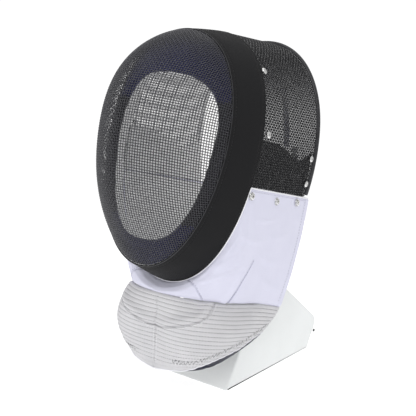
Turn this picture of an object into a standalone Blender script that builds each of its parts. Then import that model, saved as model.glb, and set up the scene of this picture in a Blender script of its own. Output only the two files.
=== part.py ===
"""Fencing mask on its display stand, modelled at real size.

Metres, +Z up. The mask looks along -Y. The origin is the centre of the stand's foot,
on the surface that it stands on, and X = 0 is the plane of symmetry.
"""

import math

import bmesh
import bpy
import numpy as np
from mathutils import Vector

NAME = "fencing_mask_on_stand"

# Gaps between pieces that touch.
FIT = 0.0003
SEAM_GAP = 0.0012

# The face opening: an egg-shaped outline in a plane that leans back.
FACE_HEIGHT = 0.300
FACE_WIDTH = 0.197
FACE_EGG_SHARE = 0.083
FACE_SHOULDER_SHARE = 0.061
FACE_LEAN = math.radians(17.8)
FACE_ABOVE_FOOT = 0.3255
FACE_AHEAD_OF_STAND = 0.145

# The domed wire face.
MESH_WALL = 0.002
BULGE = 0.088
BULGE_BROW_SHARE = 0.20
BULGE_FLATTEN_SHARE = 0.40
BULGE_END_POWER = 3.6
BULGE_SIDE_POWER = 1.75
BULGE_ROUND_POWER = 1.3

# The trim band round the join of the face and the hood.
BAND_DEPTH = 0.045
BAND_EXTRA_DEPTH = 0.008
BAND_FLARE = 0.014
BAND_WALL = 0.0025

# The hood mesh, from the band back to the rear rim.
HOOD_JOIN_ANGLE = math.radians(101)
RIM_SPREAD = 0.003
RIM_ARCH = 0.131
RIM_LEG = 0.072
RIM_TUCK = 0.009
RIM_ROUND_POWER = 2.2
RIM_CENTRE_DROP = 0.008
RIM_BEHIND_FACE = 0.212
RIM_LEAN_RATIO = 0.17
BINDING_RADIUS = 0.0036
BINDING_END_SHARE = 0.985

# The padding inside the wire face, round a window to look through.
PAD_WALL = 0.008
PAD_SETBACK = 0.0024
PAD_LIFT_SHARE = 0.45
PAD_BROW_WIDTH = 0.060
PAD_CHIN_WIDTH = 0.029
PAD_SIDE_WIDTH = 0.0125
WINDOW_ROUND_POWER = 2.3

# The padded linings inside the cheeks, and the clip on the right one.
LINING_WALL = 0.003
LINING_SETBACK = 0.0008
CLIP_SIZE = (0.007, 0.012, 0.019)
CLIP_ALONG_SHARE = 0.72

# The sprung tongue behind the head.
TONGUE_WALL = 0.003
TONGUE_WIDTH = 0.009
TONGUE_ROOT_WIDTH = 0.030
TONGUE_REACH = 0.058
TONGUE_ROOT_SHARE = 0.80
TONGUE_DROP = 0.145

# The bib.
BIB_WALL = 0.004
BIB_PUFF = 0.004
BIB_OVERHANG = 0.013
LAME_WALL = 0.003

# Snaps on the bib and rivets on the hood.
SNAP_RADIUS = 0.0045
SNAP_HEIGHT = 0.0028
RIVET_RADIUS = 0.0043
RIVET_HEIGHT = 0.0018

# The stand.
STAND_WIDTH = 0.124
STAND_DEPTH = 0.196
STAND_FACE_SLOPE = math.radians(58)
STAND_TOP_SLOPE = math.radians(39)
STAND_REAR_HEIGHT = 0.041
STAND_EDGE = 0.003
STAND_CORNER = 0.017
STAND_SCREW_RADIUS = 0.0022
STAND_SCREW_HEIGHT = 0.0008
STAND_SCREW_UP = 0.024
STAND_SCREW_AHEAD = 0.009
POST_RADIUS = 0.011
POST_BEHIND_CENTRE = 0.013
POST_CAP_RADIUS = 0.020
POST_CAP_HEIGHT = 0.008

RIM_WIDTH = FACE_WIDTH + 2 * RIM_SPREAD

# Rows of the bib. Widths, front and turn are shares of the face width; drop is measured
# down from the face centre as a share of the face height. Edge values are at the rear edge.
BIB_ROWS = {
    # name: half_width, front, turn, square, pinch, drop, edge_half_width, edge_back, edge_drop, curl
    "lame_top": (0.447, 0.086, 0.254, 2.0, 0.0, 0.613, 0.437, 0.680, 0.753, 2.0),
    "lame_middle": (0.487, 0.152, 0.228, 3.0, 0.05, 0.762, 0.410, 0.569, 0.830, 1.5),
    "lame_hem": (0.366, 0.127, 0.228, 2.6, 0.0, 0.947, 0.355, 0.447, 0.890, 1.0),
}

# Folds sewn or fallen into the bib and its panel: where each starts and ends as shares
# round from the front centre and down, its half width and its depth in metres.
BIB_FOLDS = (
    # round_from, down_from, round_to, down_to, half_width, depth
    (0.62, 0.42, 0.40, 0.98, 0.007, 0.0022),
    (0.50, 0.30, 0.80, 0.22, 0.012, 0.0016),
    (0.56, 0.58, 0.86, 0.50, 0.013, 0.0014),
)
LAME_FOLDS = (
    # round_from, down_from, round_to, down_to, half_width, depth
    (0.000, 0.47, 0.165, 0.42, 0.008, 0.0026),
    (0.165, 0.42, 0.330, 0.06, 0.008, 0.0024),
    (0.000, 0.47, 0.000, 0.95, 0.010, 0.0012),
)

# Nominal size of the bib's cloth: half way round it, and down each of its two parts.
FOLD_ROUND_LENGTH = 0.230
FOLD_DOWN_LENGTH = 0.105

# Top edge of each cheek lining: share of the way from band to rim, share of the way down.
LINING_TOP = (
    (0.00, 0.77),
    (0.30, 0.77),
    (0.50, 0.79),
    (0.66, 0.83),
    (0.80, 0.82),
    (1.00, 0.76),
)

# Rivets on the hood: share of the way round from the crown, share of the way back.
RIVETS = (
    (0.42, 0.03),
    (0.74, 0.07),
    (0.80, 0.92),
    (0.93, 0.93),
)

# Snaps on the bib: share of the way round from the chin, share of the way down.
SNAPS = (
    (0.54, 0.07),
    (0.73, 0.08),
    (0.90, 0.06),
)

# Colours, roughness and metallic values.
LOOKS = {
    "mesh": ((0.012, 0.012, 0.014), 0.45, 0.6),
    "trim": ((0.014, 0.014, 0.016), 0.75, 0.0),
    "binding": ((0.020, 0.020, 0.024), 0.30, 0.0),
    "navy_padding": ((0.010, 0.012, 0.060), 0.90, 0.0),
    "black_lining": ((0.010, 0.010, 0.011), 0.90, 0.0),
    "white_cloth": ((0.740, 0.740, 0.860), 0.80, 0.0),
    "lame": ((0.560, 0.550, 0.580), 0.55, 0.3),
    "steel": ((0.600, 0.600, 0.600), 0.25, 1.0),
    "stand_white": ((0.820, 0.850, 0.850), 0.35, 0.0),
    "dark_screw": ((0.050, 0.050, 0.050), 0.50, 0.5),
}


def clear_scene():
    for thing in list(bpy.data.objects):
        bpy.data.objects.remove(thing, do_unlink=True)


def make_collection():
    group = bpy.data.collections.new(NAME)
    bpy.context.scene.collection.children.link(group)
    return group


def make_material(key):
    colour, roughness, metallic = LOOKS[key]
    material = bpy.data.materials.new(key)
    material.use_nodes = True
    shader = material.node_tree.nodes["Principled BSDF"]
    shader.inputs["Base Color"].default_value = (*colour, 1.0)
    shader.inputs["Roughness"].default_value = roughness
    shader.inputs["Metallic"].default_value = metallic
    material.diffuse_color = (*colour, 1.0)
    return material


def smooth(mesh, angle=40.0):
    mesh.shade_smooth()
    mesh.set_sharp_from_angle(angle=math.radians(angle))


def add_object(name, mesh, look):
    thing = bpy.data.objects.new(name, mesh)
    COLLECTION.objects.link(thing)
    mesh.materials.append(MATERIALS[look])
    return thing


def surface_mesh(name, rows, loop=False):
    """Open surface through rows of points. A first row of one point becomes a fan."""
    points = [tuple(point) for row in rows for point in row]
    starts = np.cumsum([0] + [len(row) for row in rows])
    faces = []
    for upper in range(len(rows) - 1):
        first, second = starts[upper], starts[upper + 1]
        count = len(rows[upper + 1])
        spans = count if loop else count - 1
        for column in range(spans):
            after = (column + 1) % count
            if len(rows[upper]) == 1:
                faces.append((first, second + after, second + column))
            else:
                faces.append((first + column, first + after, second + after, second + column))
    mesh = bpy.data.meshes.new(name)
    mesh.from_pydata(points, [], faces)
    mesh.update()
    return mesh


def add_shell(name, rows, wall, look, loop=False):
    """Surface given a wall on its inner side."""
    mesh = surface_mesh(name, rows, loop)
    smooth(mesh)
    thing = add_object(name, mesh, look)
    thicken = thing.modifiers.new("wall", "SOLIDIFY")
    thicken.thickness = wall
    thicken.offset = -1.0
    thicken.use_even_offset = True
    thicken.use_quality_normals = True
    return thing


def along(points, shares):
    """Points at given shares of a polyline's length."""
    points = np.asarray(points, dtype=float)
    steps = np.linalg.norm(np.diff(points, axis=0), axis=1)
    length = np.concatenate([[0.0], np.cumsum(steps)])
    length /= length[-1]
    return np.stack([np.interp(shares, length, points[:, axis]) for axis in range(3)], axis=-1)


def face_to_world(x, up, ahead):
    """From the leaning face plane: across, up along it and ahead of it."""
    x, up, ahead = np.broadcast_arrays(x, up, ahead)
    back = up * math.sin(FACE_LEAN) - ahead * math.cos(FACE_LEAN) - FACE_AHEAD_OF_STAND
    height = up * math.cos(FACE_LEAN) + ahead * math.sin(FACE_LEAN) + FACE_ABOVE_FOOT
    return np.stack([x, back, height], axis=-1)


def half_width(share):
    """Half width of the face outline at a share of its half height."""
    round_part = np.sqrt(np.clip(1.0 - share * share, 0.0, 1.0))
    return FACE_WIDTH / 2 * round_part * (1.0 + FACE_EGG_SHARE * share + FACE_SHOULDER_SHARE * share * share)


def bulge(x, up):
    """How far the wire face stands ahead of its plane."""
    share = np.clip(up / (FACE_HEIGHT / 2), -1.0, 1.0)
    side = np.clip(np.abs(x) / np.maximum(half_width(share), 1e-9), 0.0, 1.0)
    ends = np.clip(1.0 - np.abs(share) ** BULGE_END_POWER, 0.0, 1.0) ** (1 / BULGE_ROUND_POWER)
    sides = np.clip(1.0 - side ** BULGE_SIDE_POWER, 0.0, 1.0) ** (1 / BULGE_ROUND_POWER)
    centre_line = BULGE * (1.0 + BULGE_BROW_SHARE * share - BULGE_FLATTEN_SHARE * share * share)
    return centre_line * ends * sides


def outline(angle):
    """Face outline at an angle from the brow: across and up."""
    share = np.cos(angle)
    return np.sign(np.sin(angle)) * half_width(share), share * FACE_HEIGHT / 2


def outline_normal(angle):
    across = np.sin(angle) / FACE_WIDTH
    up = np.cos(angle) / FACE_HEIGHT
    size = np.hypot(across, up)
    return across / size, up / size


def band_point(angle, share):
    """Outer face of the trim band, from its front edge (0) to its rear edge (1)."""
    x, up = outline(angle)
    across_n, up_n = outline_normal(angle)
    spread = BAND_FLARE * share
    depth = BAND_DEPTH + BAND_EXTRA_DEPTH * np.cos(angle) ** 2
    return face_to_world(x + spread * across_n, up + spread * up_n, -depth * share)


def rim_line(count=121):
    """Centre line of the right half of the rear rim, from the crown down."""
    angle = np.linspace(0.0, math.pi / 2, count)
    power = 2 / RIM_ROUND_POWER
    arch_x = RIM_WIDTH / 2 * np.sin(angle) ** power
    arch_up = RIM_ARCH * np.clip(np.cos(angle), 0.0, 1.0) ** power
    leg = np.linspace(0.0, 1.0, count)[1:]
    leg_x = RIM_WIDTH / 2 - RIM_TUCK * leg ** 2
    leg_up = -RIM_LEG * leg
    x = np.concatenate([arch_x, leg_x])
    up = np.concatenate([arch_up, leg_up])
    back = RIM_BEHIND_FACE + RIM_LEAN_RATIO * (up - RIM_ARCH) - FACE_AHEAD_OF_STAND
    return np.stack([x, back, up - RIM_CENTRE_DROP + FACE_ABOVE_FOOT], axis=-1)


def both_sides(shares, right_half):
    """Points for shares -1 to 1 from a right half given for 0 to 1."""
    points = right_half(np.abs(shares))
    flip = np.where(shares < 0, -1.0, 1.0)
    return points * np.stack([flip, np.ones_like(flip), np.ones_like(flip)], axis=-1)


def hood_front(shares):
    """Band's rear edge over the hood, by length from the crown to the cheek."""
    angles = np.linspace(0.0, HOOD_JOIN_ANGLE, 161)
    return along(band_point(angles, 1.0), shares)


def hood_point(shares, back, inset=0.0):
    """Hood surface: shares -1 to 1 round, 0 to 1 from the band to the rim's centre line."""
    front = both_sides(shares, hood_front)
    rear = both_sides(shares, lambda half: along(rim_line(), half))
    points = front + (rear - front) * back
    if inset:
        points = points - inset * hood_normal(shares, back)
    return points


def hood_normal(shares, back):
    step = 0.01
    round_way = hood_point(shares + step, back) - hood_point(shares - step, back)
    back_way = hood_point(shares, 1.0) - hood_point(shares, 0.0)
    normal = np.cross(round_way, back_way)
    return normal / np.linalg.norm(normal, axis=-1, keepdims=True)


def hood_length():
    """Length of the hood from the band to the rim, at the crown."""
    crown = np.array([0.0])
    return float(np.linalg.norm(hood_point(crown, 1.0) - hood_point(crown, 0.0)))


def bib_top(shares):
    """Bib's top edge, by length from the chin round to its rear corner."""
    angles = np.linspace(math.pi, HOOD_JOIN_ANGLE, 121)
    under_band = band_point(angles, 1.0)
    joint, end = under_band[-1], rim_line()[-1]
    way = (end - joint) / np.linalg.norm(end - joint)
    corner = end + way * BIB_OVERHANG
    return along(np.vstack([under_band, corner]), shares)


def bib_row(name, shares):
    """One row of the bib, by length from the front centre to the rear edge."""
    half, front, turn, square, pinch, drop, edge_half, edge_back, edge_drop, curl = BIB_ROWS[name]
    angle = np.linspace(0.0, math.pi / 2, 81)
    power = 2 / square
    x = half * np.clip(np.sin(angle), 0.0, 1.0) ** power
    y = turn - (turn + front) * np.clip(np.cos(angle), 0.0, 1.0) ** power
    y = y + pinch * np.clip(1.0 - x / half, 0.0, 1.0) ** 2
    x = np.append(x, edge_half)
    y = np.append(y, edge_back)
    flat = np.stack([x * FACE_WIDTH, y * FACE_WIDTH - FACE_AHEAD_OF_STAND, 0.0 * x], axis=-1)
    points = along(flat, shares)
    level = drop + (edge_drop - drop) * shares ** curl
    points[..., 2] = FACE_ABOVE_FOOT - level * FACE_HEIGHT
    return points


def outward_from_neck(points):
    """Level direction from the neck's axis to each point."""
    axis = np.array([0.0, FACE_WIDTH / 4 - FACE_AHEAD_OF_STAND, 0.0])
    way = (points - axis) * np.array([1.0, 1.0, 0.0])
    return way / np.linalg.norm(way, axis=-1, keepdims=True)


def fold_depth(shares, down, folds):
    """How far the folds draw the cloth in, on both sides alike."""
    depth = np.zeros_like(shares)
    for round_from, down_from, round_to, down_to, half_width_m, most in folds:
        start = np.array([round_from * FOLD_ROUND_LENGTH, down_from * FOLD_DOWN_LENGTH])
        way = np.array([round_to * FOLD_ROUND_LENGTH, down_to * FOLD_DOWN_LENGTH]) - start
        across = np.abs(shares) * FOLD_ROUND_LENGTH - start[0]
        below = down * FOLD_DOWN_LENGTH - start[1]
        part = np.clip((across * way[0] + below * way[1]) / (way @ way), 0.0, 1.0)
        distance = np.hypot(across - part * way[0], below - part * way[1])
        depth = np.maximum(depth, most * np.exp(-((distance / half_width_m) ** 2)))
    return depth


def bib_point(shares, down):
    """White part of the bib, from its top edge (0) to the panel (1)."""
    top = both_sides(shares, bib_top)
    low = both_sides(shares, lambda half: bib_row("lame_top", half))
    points = top + (low - top) * down
    rise = BIB_PUFF * 4 * down * (1 - down)
    rise = rise - fold_depth(shares, down, BIB_FOLDS) * np.sin(math.pi * np.clip(down, 0.0, 1.0))
    return points + outward_from_neck(points) * rise[..., None]


def lame_point(shares, down):
    """Lower panel of the bib, through its top, middle and hem rows."""
    top = both_sides(shares, lambda half: bib_row("lame_top", half))
    middle = both_sides(shares, lambda half: bib_row("lame_middle", half))
    hem = both_sides(shares, lambda half: bib_row("lame_hem", half))
    weights = (
        2 * (down - 0.5) * (down - 1.0),
        -4 * down * (down - 1.0),
        2 * down * (down - 0.5),
    )
    points = top * weights[0] + middle * weights[1] + hem * weights[2]
    drawn = fold_depth(shares, down, LAME_FOLDS) * np.sin(math.pi * np.clip(down, 0.0, 1.0))
    return points - outward_from_neck(points) * drawn[..., None]


def make_front_mesh():
    angles = np.linspace(0.0, 2 * math.pi, 48, endpoint=False)
    rows = [face_to_world(np.array([0.0]), 0.0, bulge(0.0, 0.0))]
    for ring in np.linspace(0.0, math.pi / 2, 11)[1:]:
        share = math.sin(ring)
        x, up = outline(angles)
        ahead = bulge(x * share, up * share) + SEAM_GAP / 2
        rows.append(face_to_world(x * share, up * share, ahead))
    return add_shell("front_mesh", rows, MESH_WALL, "mesh", loop=True)


def make_band():
    angles = np.linspace(0.0, 2 * math.pi, 56, endpoint=False)
    rows = [band_point(angles, share) for share in (0.0, 0.5, 1.0)]
    return add_shell("trim_band", rows, BAND_WALL, "trim", loop=True)


def make_hood():
    start = SEAM_GAP / hood_length()
    stop = 1.0 - (BINDING_RADIUS + FIT) / hood_length() * 1.15
    shares = np.linspace(-1.0, 1.0, 45)
    rows = [hood_point(shares, back) for back in np.linspace(start, stop, 7)]
    return add_shell("hood_mesh", rows, MESH_WALL, "mesh")


def tube(name, points, radius, look):
    """Round bar along a smooth line."""
    curve = bpy.data.curves.new(name, "CURVE")
    curve.dimensions = "3D"
    curve.bevel_depth = radius
    curve.bevel_resolution = 2
    curve.use_fill_caps = True
    spline = curve.splines.new("POLY")
    spline.points.add(len(points) - 1)
    for spot, point in zip(spline.points, points):
        spot.co = (*point, 1.0)
    curve.materials.append(MATERIALS[look])
    thing = bpy.data.objects.new(name, curve)
    COLLECTION.objects.link(thing)
    return thing


def make_binding():
    shares = np.linspace(-BINDING_END_SHARE, BINDING_END_SHARE, 47)
    return tube("rear_binding", hood_point(shares, 1.0), BINDING_RADIUS, "binding")


def window(angle):
    """Outline of the opening in the padding: across and up."""
    power = 2 / WINDOW_ROUND_POWER
    half = FACE_WIDTH / 2 - PAD_SIDE_WIDTH
    x = half * np.sign(np.sin(angle)) * np.abs(np.sin(angle)) ** power
    middle = (PAD_CHIN_WIDTH - PAD_BROW_WIDTH) / 2
    reach = (FACE_HEIGHT - PAD_CHIN_WIDTH - PAD_BROW_WIDTH) / 2
    up = middle + reach * np.sign(np.cos(angle)) * np.abs(np.cos(angle)) ** power
    return x, up


def make_padding():
    angles = np.linspace(0.0, 2 * math.pi, 48, endpoint=False)
    inner_x, inner_up = window(angles)
    outer_x, outer_up = outline(angles)
    across_n, up_n = outline_normal(angles)
    outer_x = outer_x - (MESH_WALL + PAD_SETBACK) * across_n
    outer_up = outer_up - (MESH_WALL + PAD_SETBACK) * up_n
    rows = []
    for share in (0.0, 0.35, 0.7, 1.0):
        x = inner_x + (outer_x - inner_x) * share
        up = inner_up + (outer_up - inner_up) * share
        rows.append(face_to_world(x, up, bulge(x, up) * PAD_LIFT_SHARE))
    return add_shell("padding_ring", rows, PAD_WALL, "navy_padding", loop=True)


def make_cheek_lining(name, side):
    table = np.array(LINING_TOP)
    inset = MESH_WALL + LINING_SETBACK
    rows = []
    for back in np.linspace(0.03, 0.94, 8):
        start = np.interp(back, table[:, 0], table[:, 1])
        shares = side * np.linspace(start, 0.985, 6)
        rows.append(hood_point(shares, back, inset))
    if side < 0:
        rows = [row[::-1] for row in rows]
    return add_shell(name, rows, LINING_WALL, "black_lining")


def make_clip():
    table = np.array(LINING_TOP)
    top = np.interp(CLIP_ALONG_SHARE, table[:, 0], table[:, 1])
    wide, deep, tall = CLIP_SIZE
    inset = MESH_WALL + LINING_SETBACK + LINING_WALL + 2 * FIT + wide / 2
    centre = hood_point(np.array([top - 0.01]), CLIP_ALONG_SHARE, inset)[0]
    normal = hood_normal(np.array([top]), CLIP_ALONG_SHARE)[0]
    thing = block("lining_clip", (wide, deep, tall), 0.0015, "black_lining")
    thing.location = Vector(centre)
    thing.rotation_mode = "QUATERNION"
    thing.rotation_quaternion = Vector(normal).to_track_quat("X", "Z")
    return thing


def block(name, size, edge, look):
    mesh = bpy.data.meshes.new(name)
    shape = bmesh.new()
    bmesh.ops.create_cube(shape, size=1.0)
    bmesh.ops.scale(shape, vec=Vector(size), verts=shape.verts)
    shape.to_mesh(mesh)
    shape.free()
    thing = add_object(name, mesh, look)
    bevel = thing.modifiers.new("edges", "BEVEL")
    bevel.width = edge
    bevel.segments = 2
    return thing


def make_tongue():
    """Strip that springs from under the hood's crown and bends down behind the head."""
    root = hood_point(np.array([0.0]), TONGUE_ROOT_SHARE)[0]
    rim = rim_line()[0]
    steps = np.linspace(0.0, 1.0, 13)
    back = root[1] + (rim[1] + TONGUE_REACH - root[1]) * np.sin(steps * math.pi / 2)
    crown = root[2] + (rim[2] - root[2]) * np.clip((back - root[1]) / (rim[1] - root[1]), 0.0, 1.0)
    clear = MESH_WALL + FIT + 0.0006 + (BINDING_RADIUS + FIT) * np.clip(steps / 0.15, 0.0, 1.0)
    half = (TONGUE_WIDTH + (TONGUE_ROOT_WIDTH - TONGUE_WIDTH) * (1 - steps) ** 3) / 2
    rows = []
    for y, top, fall, wide in zip(back, crown - clear, TONGUE_DROP * steps ** 2.2, half):
        edge = top - fall - wide ** 2 / RIM_WIDTH * 2
        rows.append(np.array([(-wide, y, edge), (0.0, y, top - fall), (wide, y, edge)]))
    return add_shell("back_tongue", rows, TONGUE_WALL, "navy_padding")


def make_bib():
    shares = np.linspace(1.0, -1.0, 53)
    rows = [bib_point(shares, down) for down in np.linspace(0.0, 1.0, 9)]
    rows = trimmed(rows, SEAM_GAP * 1.5, SEAM_GAP / 2)
    return add_shell("bib", rows, BIB_WALL, "white_cloth")


def make_lame():
    shares = np.linspace(1.0, -1.0, 49)
    rows = [lame_point(shares, down) for down in np.linspace(0.0, 1.0, 10)]
    rows = trimmed(rows, SEAM_GAP / 2, 0.0)
    return add_shell("lame_panel", rows, LAME_WALL, "lame")


def trimmed(rows, first, last):
    """Rows with their first and last moved in, so that the surface is that much shorter."""
    rows = [row.copy() for row in rows]
    for edge, inner, cut in ((0, 1, first), (-1, -2, last)):
        way = rows[inner] - rows[edge]
        rows[edge] = rows[edge] + way * cut / np.linalg.norm(way, axis=-1, keepdims=True)
    return rows


def place_on(thing, spot, normal):
    thing.location = Vector(spot)
    thing.rotation_mode = "QUATERNION"
    thing.rotation_quaternion = Vector(normal).to_track_quat("Z", "Y")


def turned(name, profile, steps, look):
    """Solid turned about Z from (radius, height) pairs, listed from the top down."""
    mesh = bpy.data.meshes.new(name)
    points = [(radius, 0.0, height) for radius, height in profile]
    edges = [(index, index + 1) for index in range(len(points) - 1)]
    mesh.from_pydata(points, edges, [])
    thing = add_object(name, mesh, look)
    turn = thing.modifiers.new("turn", "SCREW")
    turn.axis = "Z"
    turn.angle = 2 * math.pi
    turn.steps = steps
    turn.render_steps = steps
    turn.use_merge_vertices = True
    turn.merge_threshold = 0.00001
    turn.use_smooth_shade = True
    return thing


def dome_stud(name, radius, height, look):
    """Flat-backed domed stud, its back at z = 0."""
    angles = np.linspace(math.pi / 2, 0.0, 4)
    profile = [(radius * math.cos(angle), height * math.sin(angle)) for angle in angles]
    profile[0] = (0.0, height)
    profile.append((radius, -0.0002))
    profile.append((0.0, -0.0002))
    return turned(name, profile, 10, look)


def surface_frame(surface, share, down):
    """Point and outward normal of a surface."""
    spot = surface(np.array([share]), down)[0]
    step = 0.01
    across = surface(np.array([share + step]), down)[0] - surface(np.array([share - step]), down)[0]
    along_down = surface(np.array([share]), down + step)[0] - surface(np.array([share]), down - step)[0]
    normal = np.cross(across, along_down)
    normal /= np.linalg.norm(normal)
    if normal[0] * share < 0:
        normal = -normal
    return spot, normal


def make_studs():
    for side, word in ((1, "right"), (-1, "left")):
        for number, (share, down) in enumerate(SNAPS, 1):
            spot, normal = surface_frame(bib_point, side * share, down)
            stud = dome_stud(f"snap_{word}_{number}", SNAP_RADIUS, SNAP_HEIGHT, "steel")
            place_on(stud, spot + normal * (FIT + 0.0004), normal)
        for number, (share, back) in enumerate(RIVETS, 1):
            spot, normal = surface_frame(hood_point, side * share, back)
            stud = dome_stud(f"rivet_{word}_{number}", RIVET_RADIUS, RIVET_HEIGHT, "steel")
            place_on(stud, spot + normal * (FIT + 0.0004), normal)


def stand_profile():
    """Side outline of the stand: back and up."""
    half = STAND_DEPTH / 2
    face = math.tan(STAND_FACE_SLOPE)
    top = math.tan(STAND_TOP_SLOPE)
    rear_y = half + STAND_REAR_HEIGHT / face
    # The front slope y = -half + z / face meets the top slope from the rear corner.
    peak = (rear_y + half + STAND_REAR_HEIGHT / top) / (1 / face + 1 / top)
    return [
        (-half, 0.0),
        (half, 0.0),
        (rear_y, STAND_REAR_HEIGHT),
        (-half + peak / face, peak),
    ]


def top_slope_height(y):
    corners = stand_profile()
    (rear_y, rear_z), (peak_y, peak_z) = corners[2], corners[3]
    return rear_z + (peak_z - rear_z) * (y - rear_y) / (peak_y - rear_y)


def make_stand():
    outline_points = stand_profile()
    mesh = bpy.data.meshes.new("stand")
    shape = bmesh.new()
    half = STAND_WIDTH / 2
    near = [shape.verts.new((half, y, z)) for y, z in outline_points]
    flat = shape.faces.new(near)
    grown = bmesh.ops.extrude_face_region(shape, geom=[flat])
    moved = [item for item in grown["geom"] if isinstance(item, bmesh.types.BMVert)]
    bmesh.ops.translate(shape, vec=(-STAND_WIDTH, 0.0, 0.0), verts=moved)
    bmesh.ops.recalc_face_normals(shape, faces=shape.faces[:])
    shape.edges.ensure_lookup_table()
    rear_y, rear_z = outline_points[2]
    corner = [
        edge
        for edge in shape.edges
        if all(abs(v.co.y - rear_y) < 1e-6 and abs(v.co.z - rear_z) < 1e-6 for v in edge.verts)
    ]
    bmesh.ops.bevel(
        shape, geom=corner, offset=STAND_CORNER, segments=6, profile=0.5, affect="EDGES"
    )
    shape.to_mesh(mesh)
    shape.free()
    thing = add_object("stand", mesh, "stand_white")
    soften = thing.modifiers.new("edges", "BEVEL")
    soften.width = STAND_EDGE
    soften.segments = 2
    soften.limit_method = "ANGLE"
    soften.angle_limit = math.radians(40)
    return thing


def make_post():
    """Plain post from the stand's top slope to the hood's crown, with a rounded cap."""
    y = POST_BEHIND_CENTRE
    low = top_slope_height(y - POST_RADIUS) + FIT * 2
    front, rear = hood_point(np.array([0.0]), 0.0)[0], hood_point(np.array([0.0]), 1.0)[0]
    fall = (front[2] - rear[2]) / (rear[1] - front[1])
    crown = front[2] - fall * (y - front[1])
    cap = [(0.0, 0.0), (0.4, 0.04), (0.7, 0.17), (0.92, 0.45), (1.0, 0.75), (0.92, 1.0)]
    cap = [(radius * POST_CAP_RADIUS, drop * POST_CAP_HEIGHT) for radius, drop in cap]
    need = max(max(radius * fall, radius ** 2 / RIM_WIDTH) - drop for radius, drop in cap)
    high = crown - MESH_WALL * math.hypot(1.0, fall) - FIT * 1.5 - need
    profile = [(radius, high - drop) for radius, drop in cap]
    profile.append((POST_RADIUS, high - POST_CAP_HEIGHT * 1.4))
    profile.append((POST_RADIUS, low))
    profile.append((0.0, low))
    thing = turned("stand_post", profile, 20, "stand_white")
    thing.location = (0.0, y, 0.0)
    return thing


def make_stand_screw():
    corners = stand_profile()
    rear_y, rear_z = corners[2]
    stud = dome_stud("stand_screw", STAND_SCREW_RADIUS, STAND_SCREW_HEIGHT, "dark_screw")
    spot = (STAND_WIDTH / 2 + FIT, rear_y - STAND_SCREW_AHEAD, STAND_SCREW_UP)
    place_on(stud, spot, (1.0, 0.0, 0.0))
    return stud


def build():
    make_front_mesh()
    make_band()
    make_hood()
    make_binding()
    make_padding()
    make_cheek_lining("lining_right", 1)
    make_cheek_lining("lining_left", -1)
    make_clip()
    make_tongue()
    make_bib()
    make_lame()
    make_studs()
    make_stand()
    make_post()
    make_stand_screw()


clear_scene()
COLLECTION = make_collection()
MATERIALS = {key: make_material(key) for key in LOOKS}
build()
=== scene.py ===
"""Looks of a fencing mask on its display stand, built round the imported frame.

Metres, +Z up. The surfaces follow the same named sizes as the solids, so every piece
lies where its solid lies. The mask looks along -Y and X = 0 is its plane of symmetry.
"""

import math

import bpy
import numpy as np
from mathutils import Matrix, Vector


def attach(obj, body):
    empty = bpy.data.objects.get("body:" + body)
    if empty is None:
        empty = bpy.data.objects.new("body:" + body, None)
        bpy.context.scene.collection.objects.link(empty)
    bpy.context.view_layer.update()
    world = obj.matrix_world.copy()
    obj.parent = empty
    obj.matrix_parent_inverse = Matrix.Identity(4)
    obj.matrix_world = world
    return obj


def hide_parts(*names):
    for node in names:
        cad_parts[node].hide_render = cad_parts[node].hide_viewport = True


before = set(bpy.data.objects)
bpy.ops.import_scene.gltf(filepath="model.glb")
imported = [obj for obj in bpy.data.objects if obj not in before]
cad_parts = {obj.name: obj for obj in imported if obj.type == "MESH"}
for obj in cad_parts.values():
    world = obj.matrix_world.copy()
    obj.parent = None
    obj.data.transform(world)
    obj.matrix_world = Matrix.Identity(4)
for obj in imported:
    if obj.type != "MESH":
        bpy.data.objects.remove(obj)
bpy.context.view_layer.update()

# Gap between pieces that touch.
FIT = 0.0003

# The face opening: an egg-shaped outline in a plane that leans back.
FACE_HEIGHT = 0.300
FACE_WIDTH = 0.197
FACE_EGG_SHARE = 0.083
FACE_SHOULDER_SHARE = 0.061
FACE_LEAN = math.radians(17.8)
FACE_ABOVE_FOOT = 0.3255
FACE_AHEAD_OF_STAND = 0.145

# The domed wire face.
MESH_WALL = 0.002
BULGE = 0.088
BULGE_BROW_SHARE = 0.20
BULGE_FLATTEN_SHARE = 0.40
BULGE_END_POWER = 3.6
BULGE_SIDE_POWER = 1.75
BULGE_ROUND_POWER = 1.3

# The trim band round the join of the face and the hood, and its two sewn rows.
BAND_DEPTH = 0.045
BAND_EXTRA_DEPTH = 0.008
BAND_FLARE = 0.014
BAND_WALL = 0.0025
BAND_SEAM_SHARES = (0.075, 0.935)
BAND_STEPS = 264

# The hood mesh, from the band back to the rear rim.
HOOD_JOIN_ANGLE = math.radians(101)
RIM_SPREAD = 0.003
RIM_ARCH = 0.131
RIM_LEG = 0.072
RIM_TUCK = 0.009
RIM_ROUND_POWER = 2.2
RIM_CENTRE_DROP = 0.008
RIM_BEHIND_FACE = 0.212
RIM_LEAN_RATIO = 0.17
RIM_WIDTH = FACE_WIDTH + 2 * RIM_SPREAD
BINDING_RADIUS = 0.0036
BINDING_END_SHARE = 0.985

# The padding inside the wire face, round a window to look through. It stands ahead of
# the face plane by a share of the bulge, and sits deeper at its sides.
PAD_WALL = 0.008
PAD_LIFT_SHARE = 0.45
PAD_SIDES_DEEPER = 0.23
PAD_MIDDLE_DEEPER = 0.10
PAD_BROW_WIDTH = 0.060
PAD_CHIN_WIDTH = 0.029
PAD_SIDE_PRESSED = 0.0165
PAD_EDGE_INSET = 0.0012
# Painted shade: between these heights and this far aside, the padding is dark grey instead of
# navy.
PAD_SHADE_FROM = -0.085
PAD_SHADE_TO = 0.058
PAD_SHADE_BESIDE = 0.05
PAD_STEPS = 220
WINDOW_EASE = 0.002
WINDOW_TAPER = 0.16
WINDOW_ROUND_POWER = 2.65

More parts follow.
